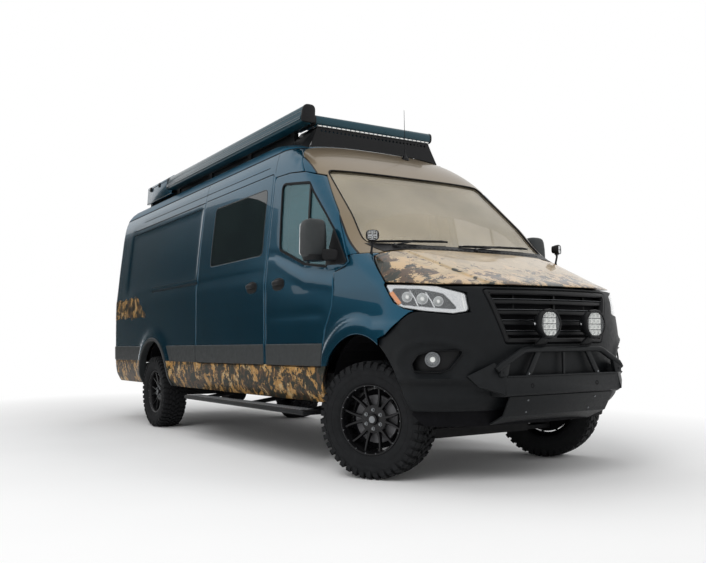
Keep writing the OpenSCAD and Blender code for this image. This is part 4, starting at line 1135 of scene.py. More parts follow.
def roof():
    h = Heap()
    front = [tuple(wrap_point([u], [z], 0.0)[0][:2]) for u, z in cap_run(5)]
    z, r = 2583, 138
    hw = float(level(z)[0])
    x = front[-1][0] - 260
    side = [(x, float(side_point(np.array([x]), np.array([float(z)]), 0.0, 1)[0][1]))]
    side += [(x, hw) for x in (-1800, -3500, -5599, -5698, -5830)]
    corner = [(r - 5947 - r * math.sin(a), hw - r + r * math.cos(a)) for a in np.linspace(0.15, math.pi / 2, 12)]
    half = front + side + corner
    outline = half + [(x, -y) for x, y in half[::-1] if y > 0.5]
    xs = lines(-5780, -1210, 60) + [-5945 + 9 * i for i in range(18)] + [-1764, -1750, -1736, -5714, -5686]
    ribs = [s * (c + e) for c in ROOF_RIBS for e in (-40, -34, -28, 28, 34, 40) for s in (1, -1)]
    panel(h, outline, [], lambda x, y, d: np.stack([x, y, roof_point(x, y, 0 * x) - d], -1), sorted(xs),
          sorted(set(lines(-830, 830, 34) + ribs)), 40, 3, roof_press, 0, 1)
    h.make("roof_skin", ["roof", "lining"], "van", ["roof_panel"], sharp=50)


def rear_press(u, v):
    """The window field and the lower field of a rear door."""
    a = np.abs(u)
    return 7 * between(v, 1612, 2328, 7) * between(a, 70, 740, 8) + 6 * between(v, 800, 1480, 8) * between(a, 90, 700,
        8)


def rear_doors():
    vs = lines(710, 2435, 44, (792, 800, 808, 1472, 1480, 1488, 1604, 1612, 1620, 2320, 2328, 2336))
    for s, tag in SIDES:
        body = "rear_door_" + tag
        window = [(s * y, z) for y, z in REAR_WINDOW]
        h = Heap()
        panel(h, rounded([(s * y, z) for y, z in REAR_DOOR], 22), [window], rear_point,
              [s * v for v in lines(10, 790, 26)], vs, WALL, 4, rear_press, 0, 1)
        h.make("rear_door_skin_" + tag, ["paint", "lining"], body, [body], sharp=50)
        pane("rear_pane_" + tag, grown(window, -1), rear_point, 10, 6, body, ["rear_glass_" + tag], "glass", [], [])
        h = Heap()
        ring(h, window, 12, 4, rear_point, -2, 12)
        h.make("rear_seal_" + tag, ["rubber"], body)


def headlamps():
    us, vs = lines(500, 1400, 30), lines(1090, 1310, 24)
    for s, tag in SIDES:
        h = Heap()

        def tube(pts, deep, r, m):
            """A thin tube on the lamp's curve."""
            run = wrapped(pts, s, "corner", False, 14)
            sweep(h, [wrap_point([u], [z], deep)[0] for u, z in run], r, 8, m)

        out = lamp_outline(-3, s)
        panel(h, out, [], wrap_point, [s * v for v in us], vs, 6, 1, 44)
        inner = rounded([(-150, 1164), (80, 1138), (205, 1128), (118, 1226), (-30, 1260), (-238, 1272)],
                        [16, 60, 12, 50, 60, 12])
        panel(h, out, [wrapped(inner, s, "corner")], wrap_point, [], [], 40, 4, 10, 1, 1)
        nrm = Vector((math.cos(0.75), s * math.sin(0.75), 0.05)).normalized()
        for c, z, r in ((-118, 1214, 32), (-12, 1199, 34), (92, 1180, 30)):
            p = wrap_point([s * run_at(c, z, "corner")], [z], 30.0)[0]
            bowl = [(0, -14), (r * 0.45, -13), (r * 0.8, -6), (r, 8), (r * 1.08, 8), (r * 1.08, -18), (0, -18)]
            lathe(h, bowl, p, nrm, 24, 1)
            lathe(h, [(0, 6), (r * 0.3, 4), (r * 0.42, -2), (r * 0.42, -12), (0, -12)], p, nrm, 16, 2)
        tube([(-190, 1168), (-140, 1152), (-10, 1128), (170, 1110), (244, 1122), (226, 1218)], 16.0, 8, 2)
        for c in (-66, 42):
            k = c + 66
            tube([(c - 34, 1256 - 0.16 * k), (c, 1206 - 0.16 * k), (c + 24, 1150 - 0.1 * k)], 22.0, 5, 1)
        amber = rounded([(-262, 1246), (-186, 1162), (-158, 1176), (-228, 1258)], 8)
        panel(h, wrapped(amber, s, "corner"), [], wrap_point, [], [], 8, 2, 6, 3, 3)
        h.make("headlamp_inner_" + tag, ["black", "chrome", "led", "amber"], "van", ["front_lamps"], sharp=40)
        pane("headlamp_lens_" + tag, out, wrap_point, 1, 4, "van", [], "lens", [s * v for v in us], vs)
        h = Heap()
        p = wrap_point([s * FOG_RUN], [FOG_Z], 22.0)[0]
        nrm = Vector((math.cos(0.72), s * math.sin(0.72), 0)).normalized()
        lathe(h, [(0, -18), (24, -16), (38, -4), (41, 6), (47, 8), (50, 0), (50, -22), (0, -22)], p, nrm, 32, 0)
        lathe(h, [(0, 7), (22, 5), (38, 0), (40, -4), (0, -4)], p, nrm, 32, 1)
        lathe(h, [(0, -2), (17, -4), (17, -14), (0, -14)], p, nrm, 20, 2)
        h.make("fog_lamp_" + tag, ["grey", "lens", "led"], "van", [], sharp=40)


for s, tag in SIDES:
    body_side(s, tag)
    front_door(s, tag)
    surf = side_on(s)
    pane("door_pane_" + tag, grown(DOOR_WINDOW, -1), surf, 8, 6, "door_" + tag, ["door_glass_" + tag], "door_tint_and_sky",
         lines(-1250, -350, 60), lines(1500, 2260, 60))
    pane("side_pane_" + tag, grown(SIDE_WINDOW, -1), surf, 1.5, 6, "van", ["side_glass"], "glass",
         lines(-2700, -1520, 80), lines(1690, 2270, 60))
    h = Heap()
    ring(h, DOOR_WINDOW, 15, 4, surf, -2, 16)
    h.make("door_seal_" + tag, ["rubber"], "door_" + tag)
    h = Heap()
    ring(h, SIDE_WINDOW, 3, 4, surf, -1.0, 12)
    h.make("side_seal_" + tag, ["clad"], "van")
slider()
fenders()
hood()
fascia()
grille()
screen_frame()
roof()
rear_doors()
headlamps()

# Wheels
TREAD_BLOCKS = 42


def lug(h, o, s, a, r, p, skew, lean=0.0, ins=3.0):
    """A tread block: ranges of width, radius and angle; skew shifts the angle over the width."""
    v = []
    for rr, i in ((r[0], 0), (r[1] - ins, 0), (r[1], ins)):
        for aa, pp, di, dj in ((a[0], p[0], 1, 1), (a[1], p[0], -1, 1), (a[1], p[1], -1, -1), (a[0], p[1], 1, -1)):
            w = aa + di * i
            t = pp + dj * i / rr + skew * (aa - a[0]) / (a[1] - a[0])
            rad = rr - lean * (abs(w) / 132)**6
            v.append((o[0] + rad * math.cos(t), o[1] + s * w, o[2] + rad * math.sin(t)))
    f = [(4 * k + j, 4 * k + (j + 1) % 4, 4 * k + 4 + (j + 1) % 4, 4 * k + 4 + j) for k in range(2) for j in range(4)]
    h.add(v, [(0, 1, 2, 3)] + f + [(8, 9, 10, 11)])


def wheel(tag):
    body = "wheel_" + tag
    o = mid("tyre_rear_" + tag.split("_")[1]) * 1000
    s = 1 if o.y > 0 else -1
    o.x = 0.0 if tag.startswith("front") else REAR_X

    def stand(h):
        """Turns a front wheel's points about its steering pin."""
        if tag.startswith("front"):
            c, q = math.cos(STEER), math.sin(STEER)
            k = s * KING_Y
            h.v = [(x * c - (y - k) * q, k + x * q + (y - k) * c, z) for x, y, z in h.v]
        return h

    def out(t):
        return Vector((math.cos(t), 0, math.sin(t)))

    ax = (0, s, 0)
    h = Heap()
    # Half of the carcass from the bead over the side wall to the crown: radius and width
    half = [(238, 100), (247, 112), (262, 121), (290, 128), (322, 131.5), (350, 129), (368, 121), (379, 108), (383, 90)]
    prof = [(r, -w) for r, w in half] + [(384, 0)] + half[::-1] + [(230, 90), (230, -90)]
    lathe(h, prof, o, ax, 88)
    for r0 in (258, 300, 338):
        w = np.interp(r0, [238, 262, 290, 322, 350], [100, 121, 128, 131.5, 129])
        for e in (-1, 1):
            lathe(h, [(r0 + a, e * (w + b)) for a, b in ((-3, -3), (-1.5, 1.2), (1.5, 1.2), (3, -3))], o, ax, 64)
    st = 2 * math.pi / TREAD_BLOCKS
    for k in range(TREAD_BLOCKS):
        t = k * st
        long = k % 2
        for e in (1, -1):
            u = t + (0.25 * st if e < 0 else 0)
            lug(h, o, s * e, (80, 127 if long else 121), (366, 399.5), (u, u + 0.63 * st), 0.10 * st, 7.0)
            lug(h, o, s * e, (118, 134 if long else 132.5), (340 if long else 352, 381),
                (u + 0.1 * st, u + 0.72 * st), 0.0, 0.0, 2.0)
            u = t + (0.5 * st if e < 0 else 0.1 * st)
            lug(h, o, s * e, (42, 74), (380, 400), (u, u + 0.6 * st), -0.22 * st)
            lug(h, o, s * e, (4, 37), (380, 400), (u + 0.35 * st, u + 0.98 * st), 0.3 * st)
    stand(h).make("tyre_" + tag, ["tyre"], body, ["tyre_" + tag], sharp=30)
    h = Heap()
    barrel = [(241, 104), (238, 109), (230, 109), (224, 100), (219, 84), (212, 30), (208, -50), (222, -96), (236, -106),
              (241, -102), (232, -92), (216, -50), (219, 30), (226, 80), (231, 98)]
    lathe(h, barrel, o, ax, 72)
    lathe(h, [(0, 60), (50, 60), (84, 64), (96, 58), (98, 44), (90, 20), (0, 20)], o, ax, 48)
    lathe(h, [(0, 82), (26, 81), (33, 77), (37, 66), (37, 55), (0, 55)], o, ax, 32)
    lathe(h, [(0, 83.5), (23, 83), (24, 81), (0, 80)], o, ax, 32, 1)
    for k in range(6):
        c = k * math.pi / 3
        for e in (-1, 1):
            rings = []
            for i in range(9):
                q = i / 8
                r = 78 + 148 * q
                t = c + e * (0.155 + 0.115 * q**1.3)
                w = (25 - 11 * q + 4 * q**4) / 2
                top = 62 + 22 * q**1.6
                low = 26 + 36 * q
                cut = ((-w, low), (-w, top - 7), (-w * 0.6, top), (w * 0.6, top), (w, top - 7), (w, low))
                rings.append([o + out(t) * r + out(t + math.pi / 2) * a + Vector((0, s * b, 0)) for a, b in cut])
            loft(h, rings)
        stud(h, o + out(c + math.pi / 6) * 64 + Vector((0, s * 61, 0)), ax, 10, 16, 1)
        for i in range(3):
            stud(h, o + out(c + i * math.pi / 9) * 229 + Vector((0, s * 104, 0)), ax, 3.2, 6, 1)
    stand(h).make("rim_" + tag, ["rim", "grey"], body, ["rim_" + tag], sharp=40)
    h = Heap()
    disc = [(44, 18), (164, 18), (166, 16), (166, 6), (130, 4), (130, 0), (166, -2), (166, -8), (164, -10), (44, -10)]
    lathe(h, disc, o, ax, 56)
    lathe(h, [(44, -18), (196, -18), (202, -12), (202, -26), (44, -26)], o, ax, 56, 1)
    stand(h).make("brake_disc_" + tag, ["cast", "dark"], body, [], sharp=40)


for tag in ("front_left", "front_right", "rear_left", "rear_right"):
    wheel(tag)


# Steel bumper with angled wings, hoop and plate
def bumper():
    h = Heap()
    solid(h, pairs((962, 530, 590), (955, 520, 697), (830, 545, 697), (830, 540, 576), (936, 530, 576)), 4)
    # A flat five-sided plate turned outward, thick along its own normal, on a block behind it
    wing = [(957, 512, 700), (966, 540, 594), (868, 668, 640), (816, 716, 708), (898, 560, 790)]
    wing += [(x - 26, y - 18, z - 8) for x, y, z in wing]
    block = [(935, 500, 694), (930, 520, 600), (850, 640, 650), (800, 660, 705), (880, 540, 760), (820, 510, 600),
             (812, 510, 740)]
    for s in (-1, 1):
        for form in (wing, block):
            solid(h, [(x, s * y, z) for x, y, z in form], 3)
        lathe(h, [(9, 0), (15, 0), (15, 3), (12, 4), (9, 3)], (956, s * 300, 640), (1, 0, 0.06), 20, 2)
        for y in (200, 420):
            stud(h, (948, s * y, 590), (0.6, 0, -0.8), 5, 5, 1)
    bar(h, [(905, 697), (957, 697), (955, 706), (905, 706)], "y", -510, 510)
    h.make("bumper_plates", ["steel", "grey", "dark"], "van", ["steel_bumper"], sharp=35)
    h = Heap()
    x = 944
    half = [(x - 14, 575, 742), (x - 4, 540, 772), (x, 385, 852), (x, 355, 864), (x, 320, 868)]
    sweep(h, [(a, -y, z) for a, y, z in half] + half[::-1], 22, 14, 0, False, 0.9)
    for s in (-1, 1):
        for back, thick, form in ((10, 18, ((205, 858), (250, 858), (345, 704), (300, 704))),
                                  (12, 20, ((470, 815), (560, 770), (560, 704), (500, 704)))):
            solid(h, [(x - back + dx, s * y, z) for dx in (0, thick) for y, z in form], 3)
        stud(h, (x + 8, s * 320, 716), (1, 0, 0), 5, 5, 1)
        stud(h, (x + 8, s * 535, 730), (1, 0, 0), 5, 5, 0)
    brick(h, (x - 8, -9, 704), (x + 6, 9, 852), 3)
    h.make("hoop_tubes", ["steel", "grey"], "van", ["bumper_hoop"], sharp=35)
    h = Heap()
    solid(h, pairs((942, 478, 575), (926, 478, 575), (870, 474, 446), (858, 474, 452)), 3)
    solid(h, pairs((872, 474, 448), (860, 474, 456), (728, 462, 384), (722, 462, 394)), 3)
    for s in (-1, 1):
        for y, z in ((310, 548), (290, 470)):
            stud(h, (942 - (575 - z) * 0.56, s * y, z), (0.87, 0, -0.48), 5, 5, 1)
    # Lower lip along the fascia's foot
    us = [u for u in np.linspace(-1300, 1300, 61) if wrap_point([u], [482.0], 30.0)[0][0] > 470]
    top = 486.0
    rows = []
    for u in us:
        a, b = wrap_point([u], [top], 22.0)[0], wrap_point([u], [top], 30.0)[0]
        low = top - 104 * min(1.0, (us[-1] - abs(u)) / 120 + 0.25)
        rows.append([(a[0], a[1], top), (a[0] - 26, a[1], low), (b[0] - 26, b[1], low), (b[0], b[1], top)])
    loft(h, rows, 2)
    h.make("skid_sheet", ["steel", "grey", "dark"], "van", ["skid_plate"], sharp=35)


def led_grid(h, at, nrm, side, up, cols, rows, pitch, size, m_cup, m_led):
    """Small reflector cups with a bright middle, laid on a plane."""
    q = size / 2
    for i in range(cols):
        for j in range(rows):
            c = at + side * ((i - (cols - 1) / 2) * pitch) + up * ((j - (rows - 1) / 2) * pitch)
            corners = ((-1, -1), (1, -1), (1, 1), (-1, 1))
            loft(h, [[c + side * x * q * k + up * y * q * k + nrm * lift for x, y in corners]
                     for k, lift in ((1, -9), (1, 5), (0.86, 6), (0.34, -6))], m_cup)
            lathe(h, [(0, 3), (q * 0.2, 2), (q * 0.32, -2), (q * 0.32, -6), (0, -6)], c, nrm, 10, m_led)


# Centre of a driving lamp
LAMP_X, LAMP_Y, LAMP_Z = 1010, 210, 1030


def lamps():
    ahead, left, up = Vector((1, 0, 0)), Vector((0, 1, 0)), Vector((0, 0, 1))
    for s, tag in SIDES:
        h = Heap()
        y = s * LAMP_Y
        o = (LAMP_X, y, LAMP_Z)
        shell = [(0, -52), (50, -51), (72, -42), (90, -14), (96, 2), (96, 29), (92, 36), (84, 37), (82, 32), (81, 16),
                 (0, 14)]
        lathe(h, shell, o, ahead, 40)
        for k in range(10):
            z = -50 + 11 * k
            w = math.sqrt(max(78**2 - z * z, 100)) * 0.78
            brick(h, (950, y - w, LAMP_Z + z - 2), (992, y + w, LAMP_Z + z + 2), 1.5)
        led_grid(h, Vector((LAMP_X + 20, y, LAMP_Z)), ahead, left, up, 3, 4, 38, 32, 2, 1)
        for z0, z1 in ((1108, 1120), (938, 952)):
            brick(h, (1020, y - 52, z0), (1042, y + 52, z1), 4)
        foot = [(x, y + b, z) for x in (938, 952) for b in (-46, 46) for z in (893, 903)]
        solid(h, foot + [(x, y + b, 944) for x in (980, 1004) for b in (-34, 34)], 3)
        for e in (-1, 1):
            solid(h, [(x, y + e * 99 + b, z) for x in (992, 1014) for b in (-3, 3) for z in (1016, 1044)], 2)
            stud(h, (1003, y + e * 101, LAMP_Z), (0, e, 0), 8, 6, 1)
        h.make("driving_lamp_" + tag, ["black", "chrome", "led"], "van", ["auxiliary_lamps"], sharp=40)
        h = Heap()
        lathe(h, [(0, 42), (46, 40), (76, 35), (81, 31), (81, 28), (0, 38)], o, ahead, 40)
        h.make("driving_lens_" + tag, ["lens"], "van", [], sharp=40)
        h = Heap()
        c = Vector((70, s * 908, 1668))
        f = Vector((math.cos(0.5), s * math.sin(0.5), 0))
        g = Vector((-f.y, f.x, 0))
        levels = [(-34, 0.62), (-30, 0.74), (-6, 0.94), (16, 1.0), (24, 1.0), (28, 0.94), (26, 0.86), (16, 0.84)]
        rim = oval(0, 0, 46, 38, 24, 3.2)
        loft(h, [[c + g * (a * k) + up * (b * k) + f * t for a, b in rim] for t, k in levels])
        for k in range(6):
            brick(h, (-30, -30 + 11 * k, -30), (-8, -26 + 11 * k, 30), 1.5, 0,
                  lambda p: c + f * p.x + g * p.y + up * p.z * 0.9)
        led_grid(h, c + f * 19, f, g, up, 2, 2, 34, 31, 1, 2)
        stem = [c - up * 36, c - up * 60 + f * 2, Vector((58, s * 908, 1560)), Vector((58, s * 908, 1528))]
        sweep(h, stem, [11, 8, 8, 15], 12)
        solid(h, [c + g * b + f * a - up * z for a in (-10, 12) for b in (-30, 30) for z in (36, 44)], 2)
        h.make("corner_lamp_" + tag, ["black", "chrome", "led"], "van", ["ditch_lamps"], sharp=40)


bumper()
lamps()


# Cladding, sills, handles and rails along the sides
def strip(h, outline, surf, out=8.0, m=0, edge=5.0, us=(), vs=()):
    """A flat moulding that stands out from the body."""
    panel(h, outline, [], surf, us, vs, out + 3, edge, -out, m, m, 26)


BAND = (752, 922)


def arch_edge(x0, r, z0, z1, front):
    """The front or rear edge of a wheel arch between two heights."""
    pts = []
    for i in range(9):
        z = z0 + (z1 - z0) * i / 8
        dx = math.sqrt(max(r * r - (z - ARCH_Z)**2, 0))
        pts.append((x0 + dx if front else x0 - dx, z))
    return pts


def grip(lift_at, at, n):
    """A pull handle of n rings: it rises from both ends, and at(q, out, t) places a point of it."""
    rings = []
    for q in np.linspace(0, 1, n):
        lift = 30 * (1 - (2 * q - 1)**6)
        rings.append([at(q, lift_at(lift, t), t) for t in circle(12)])
    return rings


def handle(h, x0, z0, s):
    """A door handle on its dish, centred at x0 and z0 on a side."""
    panel(h, oval(x0, z0, 106, 52, 28, 2.4), [], side_on(s), [], [], 4, 2, -2.5, 1, 1)
    y = spot(side_point, x0, z0 + 6, 0, s).y
    loft(h, grip(lambda lift, t: lift - 7 * math.cos(t) * (1 if lift > 5 else 0.5) - 2,
                 lambda q, out, t: (x0 - 86 + 176 * q, y + s * out, z0 + 10 + (17 + 7 * q) * math.sin(t)), 13), 1)


def trims():
    z0, z1 = BAND
    for s, tag in SIDES:
        surf = side_on(s)
        vs = lines(z0, z1, 40)
        h = Heap()
        strip(h, rounded([(-1403, z0), (-496, z0), (-466, z1), (-1403, z1)], 10), surf, 8, 0, 5,
              lines(-1400, -500, 60), vs)
        handle(h, -1180, 1412, s)
        # The bar in the door's window
        prof = ((-13, -6), (-13, 3), (-10, 6), (10, 6), (13, 3), (13, -6))
        foot = [spot(side_point, -708 - 60 * i / 11, 1542 + 640 * i / 11, 4, s) for i in range(12)]
        loft(h, [[(p.x + a, p.y + s * b, p.z) for a, b in prof] for p in foot], 1)
        h.make("door_trim_" + tag, ["clad", "black"], "door_" + tag, [], sharp=40)

        h = Heap()
        start = -1414 if s > 0 else -3009
        strip(h, [(start, z0), (start, z1)] + arch_edge(REAR_X, ARCH_R + 36, z0, z1, True)[::-1], surf, 8, 0, 5,
              lines(-4000, start, 60), vs)
        if s < 0:
            strip(h, rounded([(-2998, z0), (-1452, z0), (-1452, z1), (-2998, z1)], 10), surf, 8, 0, 5,
                  lines(-2990, -1460, 60), vs)
        end = [(back_at(800, z), z) for z in (z1, 840, z0)]
        strip(h, arch_edge(REAR_X, ARCH_R + 36, z0, z1, False) + end, back_on(s), 8, 0, 5, lines(-6100, -4860, 40), vs)
        lip = arch_run(REAR_X, ARCH_R + 34, 486, 486, 40) + arch_run(REAR_X, ARCH_R - 2, 486, 486, 40)[::-1]
        panel(h, lip, [], surf, [], [], 84, 6, lambda u, v: -12 - rear_flare(u, v), 0, 0, 26)
        if s < 0:
            # The sliding door's handle and rail
            handle(h, -1688, 1418, s)
            strip(h, rounded([(-4432, 1545), (-3012, 1545), (-3012, 1598), (-4432, 1598)], 10), surf, -4, 1, 3)
            for z in (1556, 1588):
                loft(h, [[spot(side_point, x, z + b, 4 - a, s) for a, b in ((0, -3), (4, -3), (4, 3), (0, 3))]
                         for x in np.linspace(-4424, -3020, 24)], 2)
        h.make("side_trim_" + tag, ["clad", "black", "teal"], "van", [], sharp=40)


def steps():
    lo, hi = near("side_steps")
    x0, x1 = lo.x, hi.x
    for s, tag in SIDES:
        h = Heap()
        prof = rounded([(s * 880, 380), (s * 1048, 380), (s * 1060, 398), (s * 1050, 416), (s * 880, 416)], 8, 3)
        bar(h, prof, "x", x0, x1, 0, 14)
        for i in range(int((x1 - x0 - 160) / 46)):
            for shift, y in ((0, 912), (23, 958), (0, 1004)):
                at = (x0 + 90 + 46 * i + shift, s * y, 0)
                lathe(h, [(8, 415.5), (8.5, 418.6), (14, 419.6), (17, 416), (16, 415)], at, (0, 0, 1), 12, 1)
                lathe(h, [(0, 415.8), (8, 416.4), (8.4, 415.4), (0, 415.2)], at, (0, 0, 1), 12, 2)
        for k in (0.08, 0.5, 0.92):
            ends = [x0 + k * (x1 - x0) + a for a in (-30, 30)]
            solid(h, [(x, s * y, z) for x in ends for y, z in ((470, 430), (880, 384), (880, 414), (510, 462))], 4)
            solid(h, [(x, s * y, z) for x in ends for y in (470, 510) for z in (430, 600)], 4)
        h.make("step_board_" + tag, ["steel", "grey", "dark"], "van", ["side_steps"], sharp=40)


trims()
steps()


# Mirrors
def mirrors():
    shell = ((0, 0.55), (0.02, 0.72), (0.06, 0.86), (0.15, 0.95), (0.35, 1.0), (0.65, 1.0), (0.85, 0.95), (0.94, 0.86),
             (0.98, 0.70), (1.0, 0.5))
    for s, tag in SIDES:
        h = Heap()
        panel(h, rounded(SAIL, [12, 8, 8, 12]), [], side_on(s), lines(-410, -130, 40), lines(1490, 1770, 40), 12, 4, -9,
              1, 1)
        loft(h, [[(-386 - 6 * t + a * k, s * (1122 - 6 * t + b * k), 1536 + 296 * t)
                  for a, b in oval(0, 0, 76, 90, 36, 3.4)] for t, k in shell])
        face = rounded([(1048, 1570), (1196, 1570), (1190, 1808), (1050, 1808)], 24)
        plate(h, [(s * y, z) for y, z in face], lambda u, v, w: (-466 + w, u, v), 8, 2, 2)
        # The arm, and the foot of the shell
        loft(h, [[(-300 - 80 * q**1.5 + a, s * (985 + 110 * q), 1562 + 14 * q * q + b)
                  for a, b in oval(0, 0, 58, 42 + 3 * q, 20, 3.6)] for q in np.linspace(0, 1, 9)], 1)
        loft(h, [[(-384 + a, s * (1118 + b), 1524 + 40 * q)
                  for a, b in oval(0, 0, 70 - 2 * (1 - q), 82 - 10 * (1 - q), 28, 3.2)] for q in np.linspace(0, 1,
                      7)], 1)
        h.make("mirror_shell_" + tag, ["clad", "black", "chrome"], "door_" + tag, ["mirror_" + tag], sharp=45)


mirrors()


# Roof gear
def awning():
    lo, hi = near("awning")
    h = Heap()
    face = lambda z: -838 + (z - 2778) * 28 / 150
    prof = rounded([(-838, 2778), (-708, 2778), (-702, 2928), (-810, 2928)], [30, 20, 44, 58], 7)
    bar(h, prof, "x", lo.x + 24, hi.x - 24, 0, 3)
    for z0, z1, out, m in ((2796, 2830, 5, 0), (2800, 2803, 6.5, 1), (2823, 2826, 6.5, 1), (2868, 2871, 1.2, 1)):
        bar(h, [(face(z0) - out, z0), (face(z0) + 8, z0), (face(z1) + 8, z1), (face(z1) - out, z1)], "x", lo.x + 26,
            hi.x - 26, m, 1)
    cap = grown(prof, 4)
    for a, b in ((lo.x, lo.x + 27), (hi.x - 27, hi.x)):
        bar(h, cap, "x", a, b, 2, 12)
    for x in (-4200, -2900, -1700):
        brick(h, (x - 34, -716, 2826), (x + 34, -652, 2846), 4, 2)
        stud(h, (x, -690, 2846), (0, 0, 1), 8, 6, 1)
    h.make("awning_case", ["case", "grey", "black"], "van", ["awning"], sharp=40)


def light_bar():
    h = Heap()
    bar(h, oval(-1240, 2850, 50, 47, 32, 2.6), "y", -622, 622, 0, 3)
    for s in (-1, 1):
        a, b = sorted((s * 616, s * 640))
        bar(h, oval(-1240, 2850, 53, 50, 32, 2.6), "y", a, b, 1, 10)
        brick(h, (-1520, s * 590, 2812), (-1235, s * 619, 2838), 4, 1)
        brick(h, (-1262, s * 590, 2808), (-1218, s * 619, 2836), 4, 1)
    bar(h, rounded([(-1228, 2794), (-1196, 2794), (-1196, 2810), (-1228, 2814)], 4, 3), "y", -606, 606, 2, 3)
    for k in range(25):
        y = -582 + 48.5 * k
        brick(h, (-1199, y - 17, 2796.5), (-1193.5, y + 17, 2807.5), 2, 3)
    # Fairing under the bar with a row of round holes, its lower edge along the roof, and its sides
    top = 2798
    foot = [(y, top - roof_z(-1196, y) - 2) for y in np.linspace(690, -690, 37)]
    holes = [oval(y, 34, 10, 10, 12, 2.0) for y in np.arange(-560, 570, 40)]
    plate(h, [(-600, 0), (600, 0)] + foot, lambda u, v, w: (-1206 + 10 * v / 100 - w, u, top - v), 4, 1.5, 1, holes)
    wall = [(-1204, 602, 2797), (-1500, 602, 2797)] + [(x, 694, roof_z(x, 694) + 2) for x in (-1198, -1350, -1500)]
    for s in (-1, 1):
        solid(h, [(x, s * (y + t), z) for x, y, z in wall for t in (0, -6)], 1.5, 1)
    for y in (-560, -200, 200, 560):
        brick(h, (-1252, y - 16, 2796), (-1206, y + 16, 2818), 3, 1)
    h.make("front_light_bar", ["case", "black", "grey", "led"], "van", ["roof_light_bar"], sharp=40)


def roof_box():
    lo, hi = near("roof_box")
    h = Heap()
    z = hi.z - 120
    prof = rounded([(lo.y, lo.z), (lo.y + 34, lo.z), (lo.y + 34, z), (hi.y, z), (hi.y, hi.z - 42),
                    (lo.y + 12, hi.z - 42)], [4, 4, 3, 8, 4, 6], 3)
    bar(h, prof, "x", lo.x, hi.x, 0, 5)
    lid = rounded([(lo.y + 8, hi.z - 40), (hi.y, hi.z - 40), (hi.y, hi.z - 14), (hi.y - 18, hi.z), (lo.y + 36, hi.z),
                   (lo.y + 16, hi.z - 14)], [3, 3, 8, 10, 14, 10], 3)
    bar(h, lid, "x", lo.x, hi.x, 0, 6)
    for k in (0.14, 0.5, 0.86):
        x = lo.x + k * (hi.x - lo.x)
        brick(h, (x - 26, lo.y + 2, hi.z - 76), (x + 26, lo.y + 18, hi.z - 24), 5, 1)
        brick(h, (x - 14, lo.y - 1, hi.z - 66), (x + 14, lo.y + 6, hi.z - 40), 3, 1)
    bar(h, [(lo.y - 1.5, lo.z + 4), (lo.y + 6, lo.z + 4), (lo.y + 6, lo.z + 10), (lo.y - 1.5, lo.z + 10)], "x",
        lo.x + 6, hi.x - 6, 2, 1)
    h.make("roof_case", ["teal", "black", "grey"], "van", ["roof_box"], sharp=40)


def air_unit():
    lo, hi = near("roof_air_conditioner")
    h = Heap()
    c = (lo + hi) / 2
    ax, ay = (hi.x - lo.x) / 2, (hi.y - lo.y) / 2
    rows = [(lo.z, 1.0), (lo.z + 30, 1.0), (hi.z - 92, 0.99), (hi.z - 58, 0.965), (hi.z - 30, 0.91), (hi.z - 12, 0.82),
            (hi.z - 3, 0.68), (hi.z, 0.45)]
    loft(h, [[(x, y, z) for x, y in oval(c.x, c.y, ax * k, ay * k, 56, 4.2)] for z, k in rows])
    for s in (-1, 1):
        for k in range(7):
            x = c.x - 150 + 50 * k
            brick(h, (x - 17, s * (ay - 14), hi.z - 168), (x + 17, s * (ay + 2), hi.z - 104), 5, 1)
            for j in range(3):
                brick(h, (x - 17, s * (ay - 6), hi.z - 158 + 20 * j), (x + 17, s * (ay + 4), hi.z - 152 + 20 * j), 2)
    bar(h, oval(c.y, lo.z + 14, ay * 0.6, 8, 16, 3), "x", hi.x - 12, hi.x + 3, 1, 2)
    for k in range(9):
        y = -160 + 40 * k
        brick(h, (c.x - 180, y - 5, hi.z - 3), (c.x + 60, y + 5, hi.z - 0.5), 1, 1)
    h.make("air_unit", ["white", "dark"], "van", ["roof_air_conditioner"], sharp=45)


def antenna():
    h = Heap()
    z = roof_z(-1050, 217)
    lathe(h, [(0, -14), (36, -14), (35, 2), (31, 9), (22, 20), (15, 34), (13, 44), (8, 50), (0, 50)], (-1050, 217, z),
          (0, 0, 1), 32)
    sweep(h, [(-1050, 217, z + 50), (-1050, 217, z + 90)], [8, 5], 12)
    sweep(h, [(-1050, 217, z + 80), (-1050, 217, z + 200), (-1052, 217, 3019)], [3.4, 3.0, 1.8], 10)
    sweep(h, [(-1046, 205, z + 30), (-1038, 120, z + 27), (-1030, -20, z + 22)], [7, 4, 2.2], 10)
    h.make("antenna_whip", ["black"], "van", ["antenna"], sharp=50)


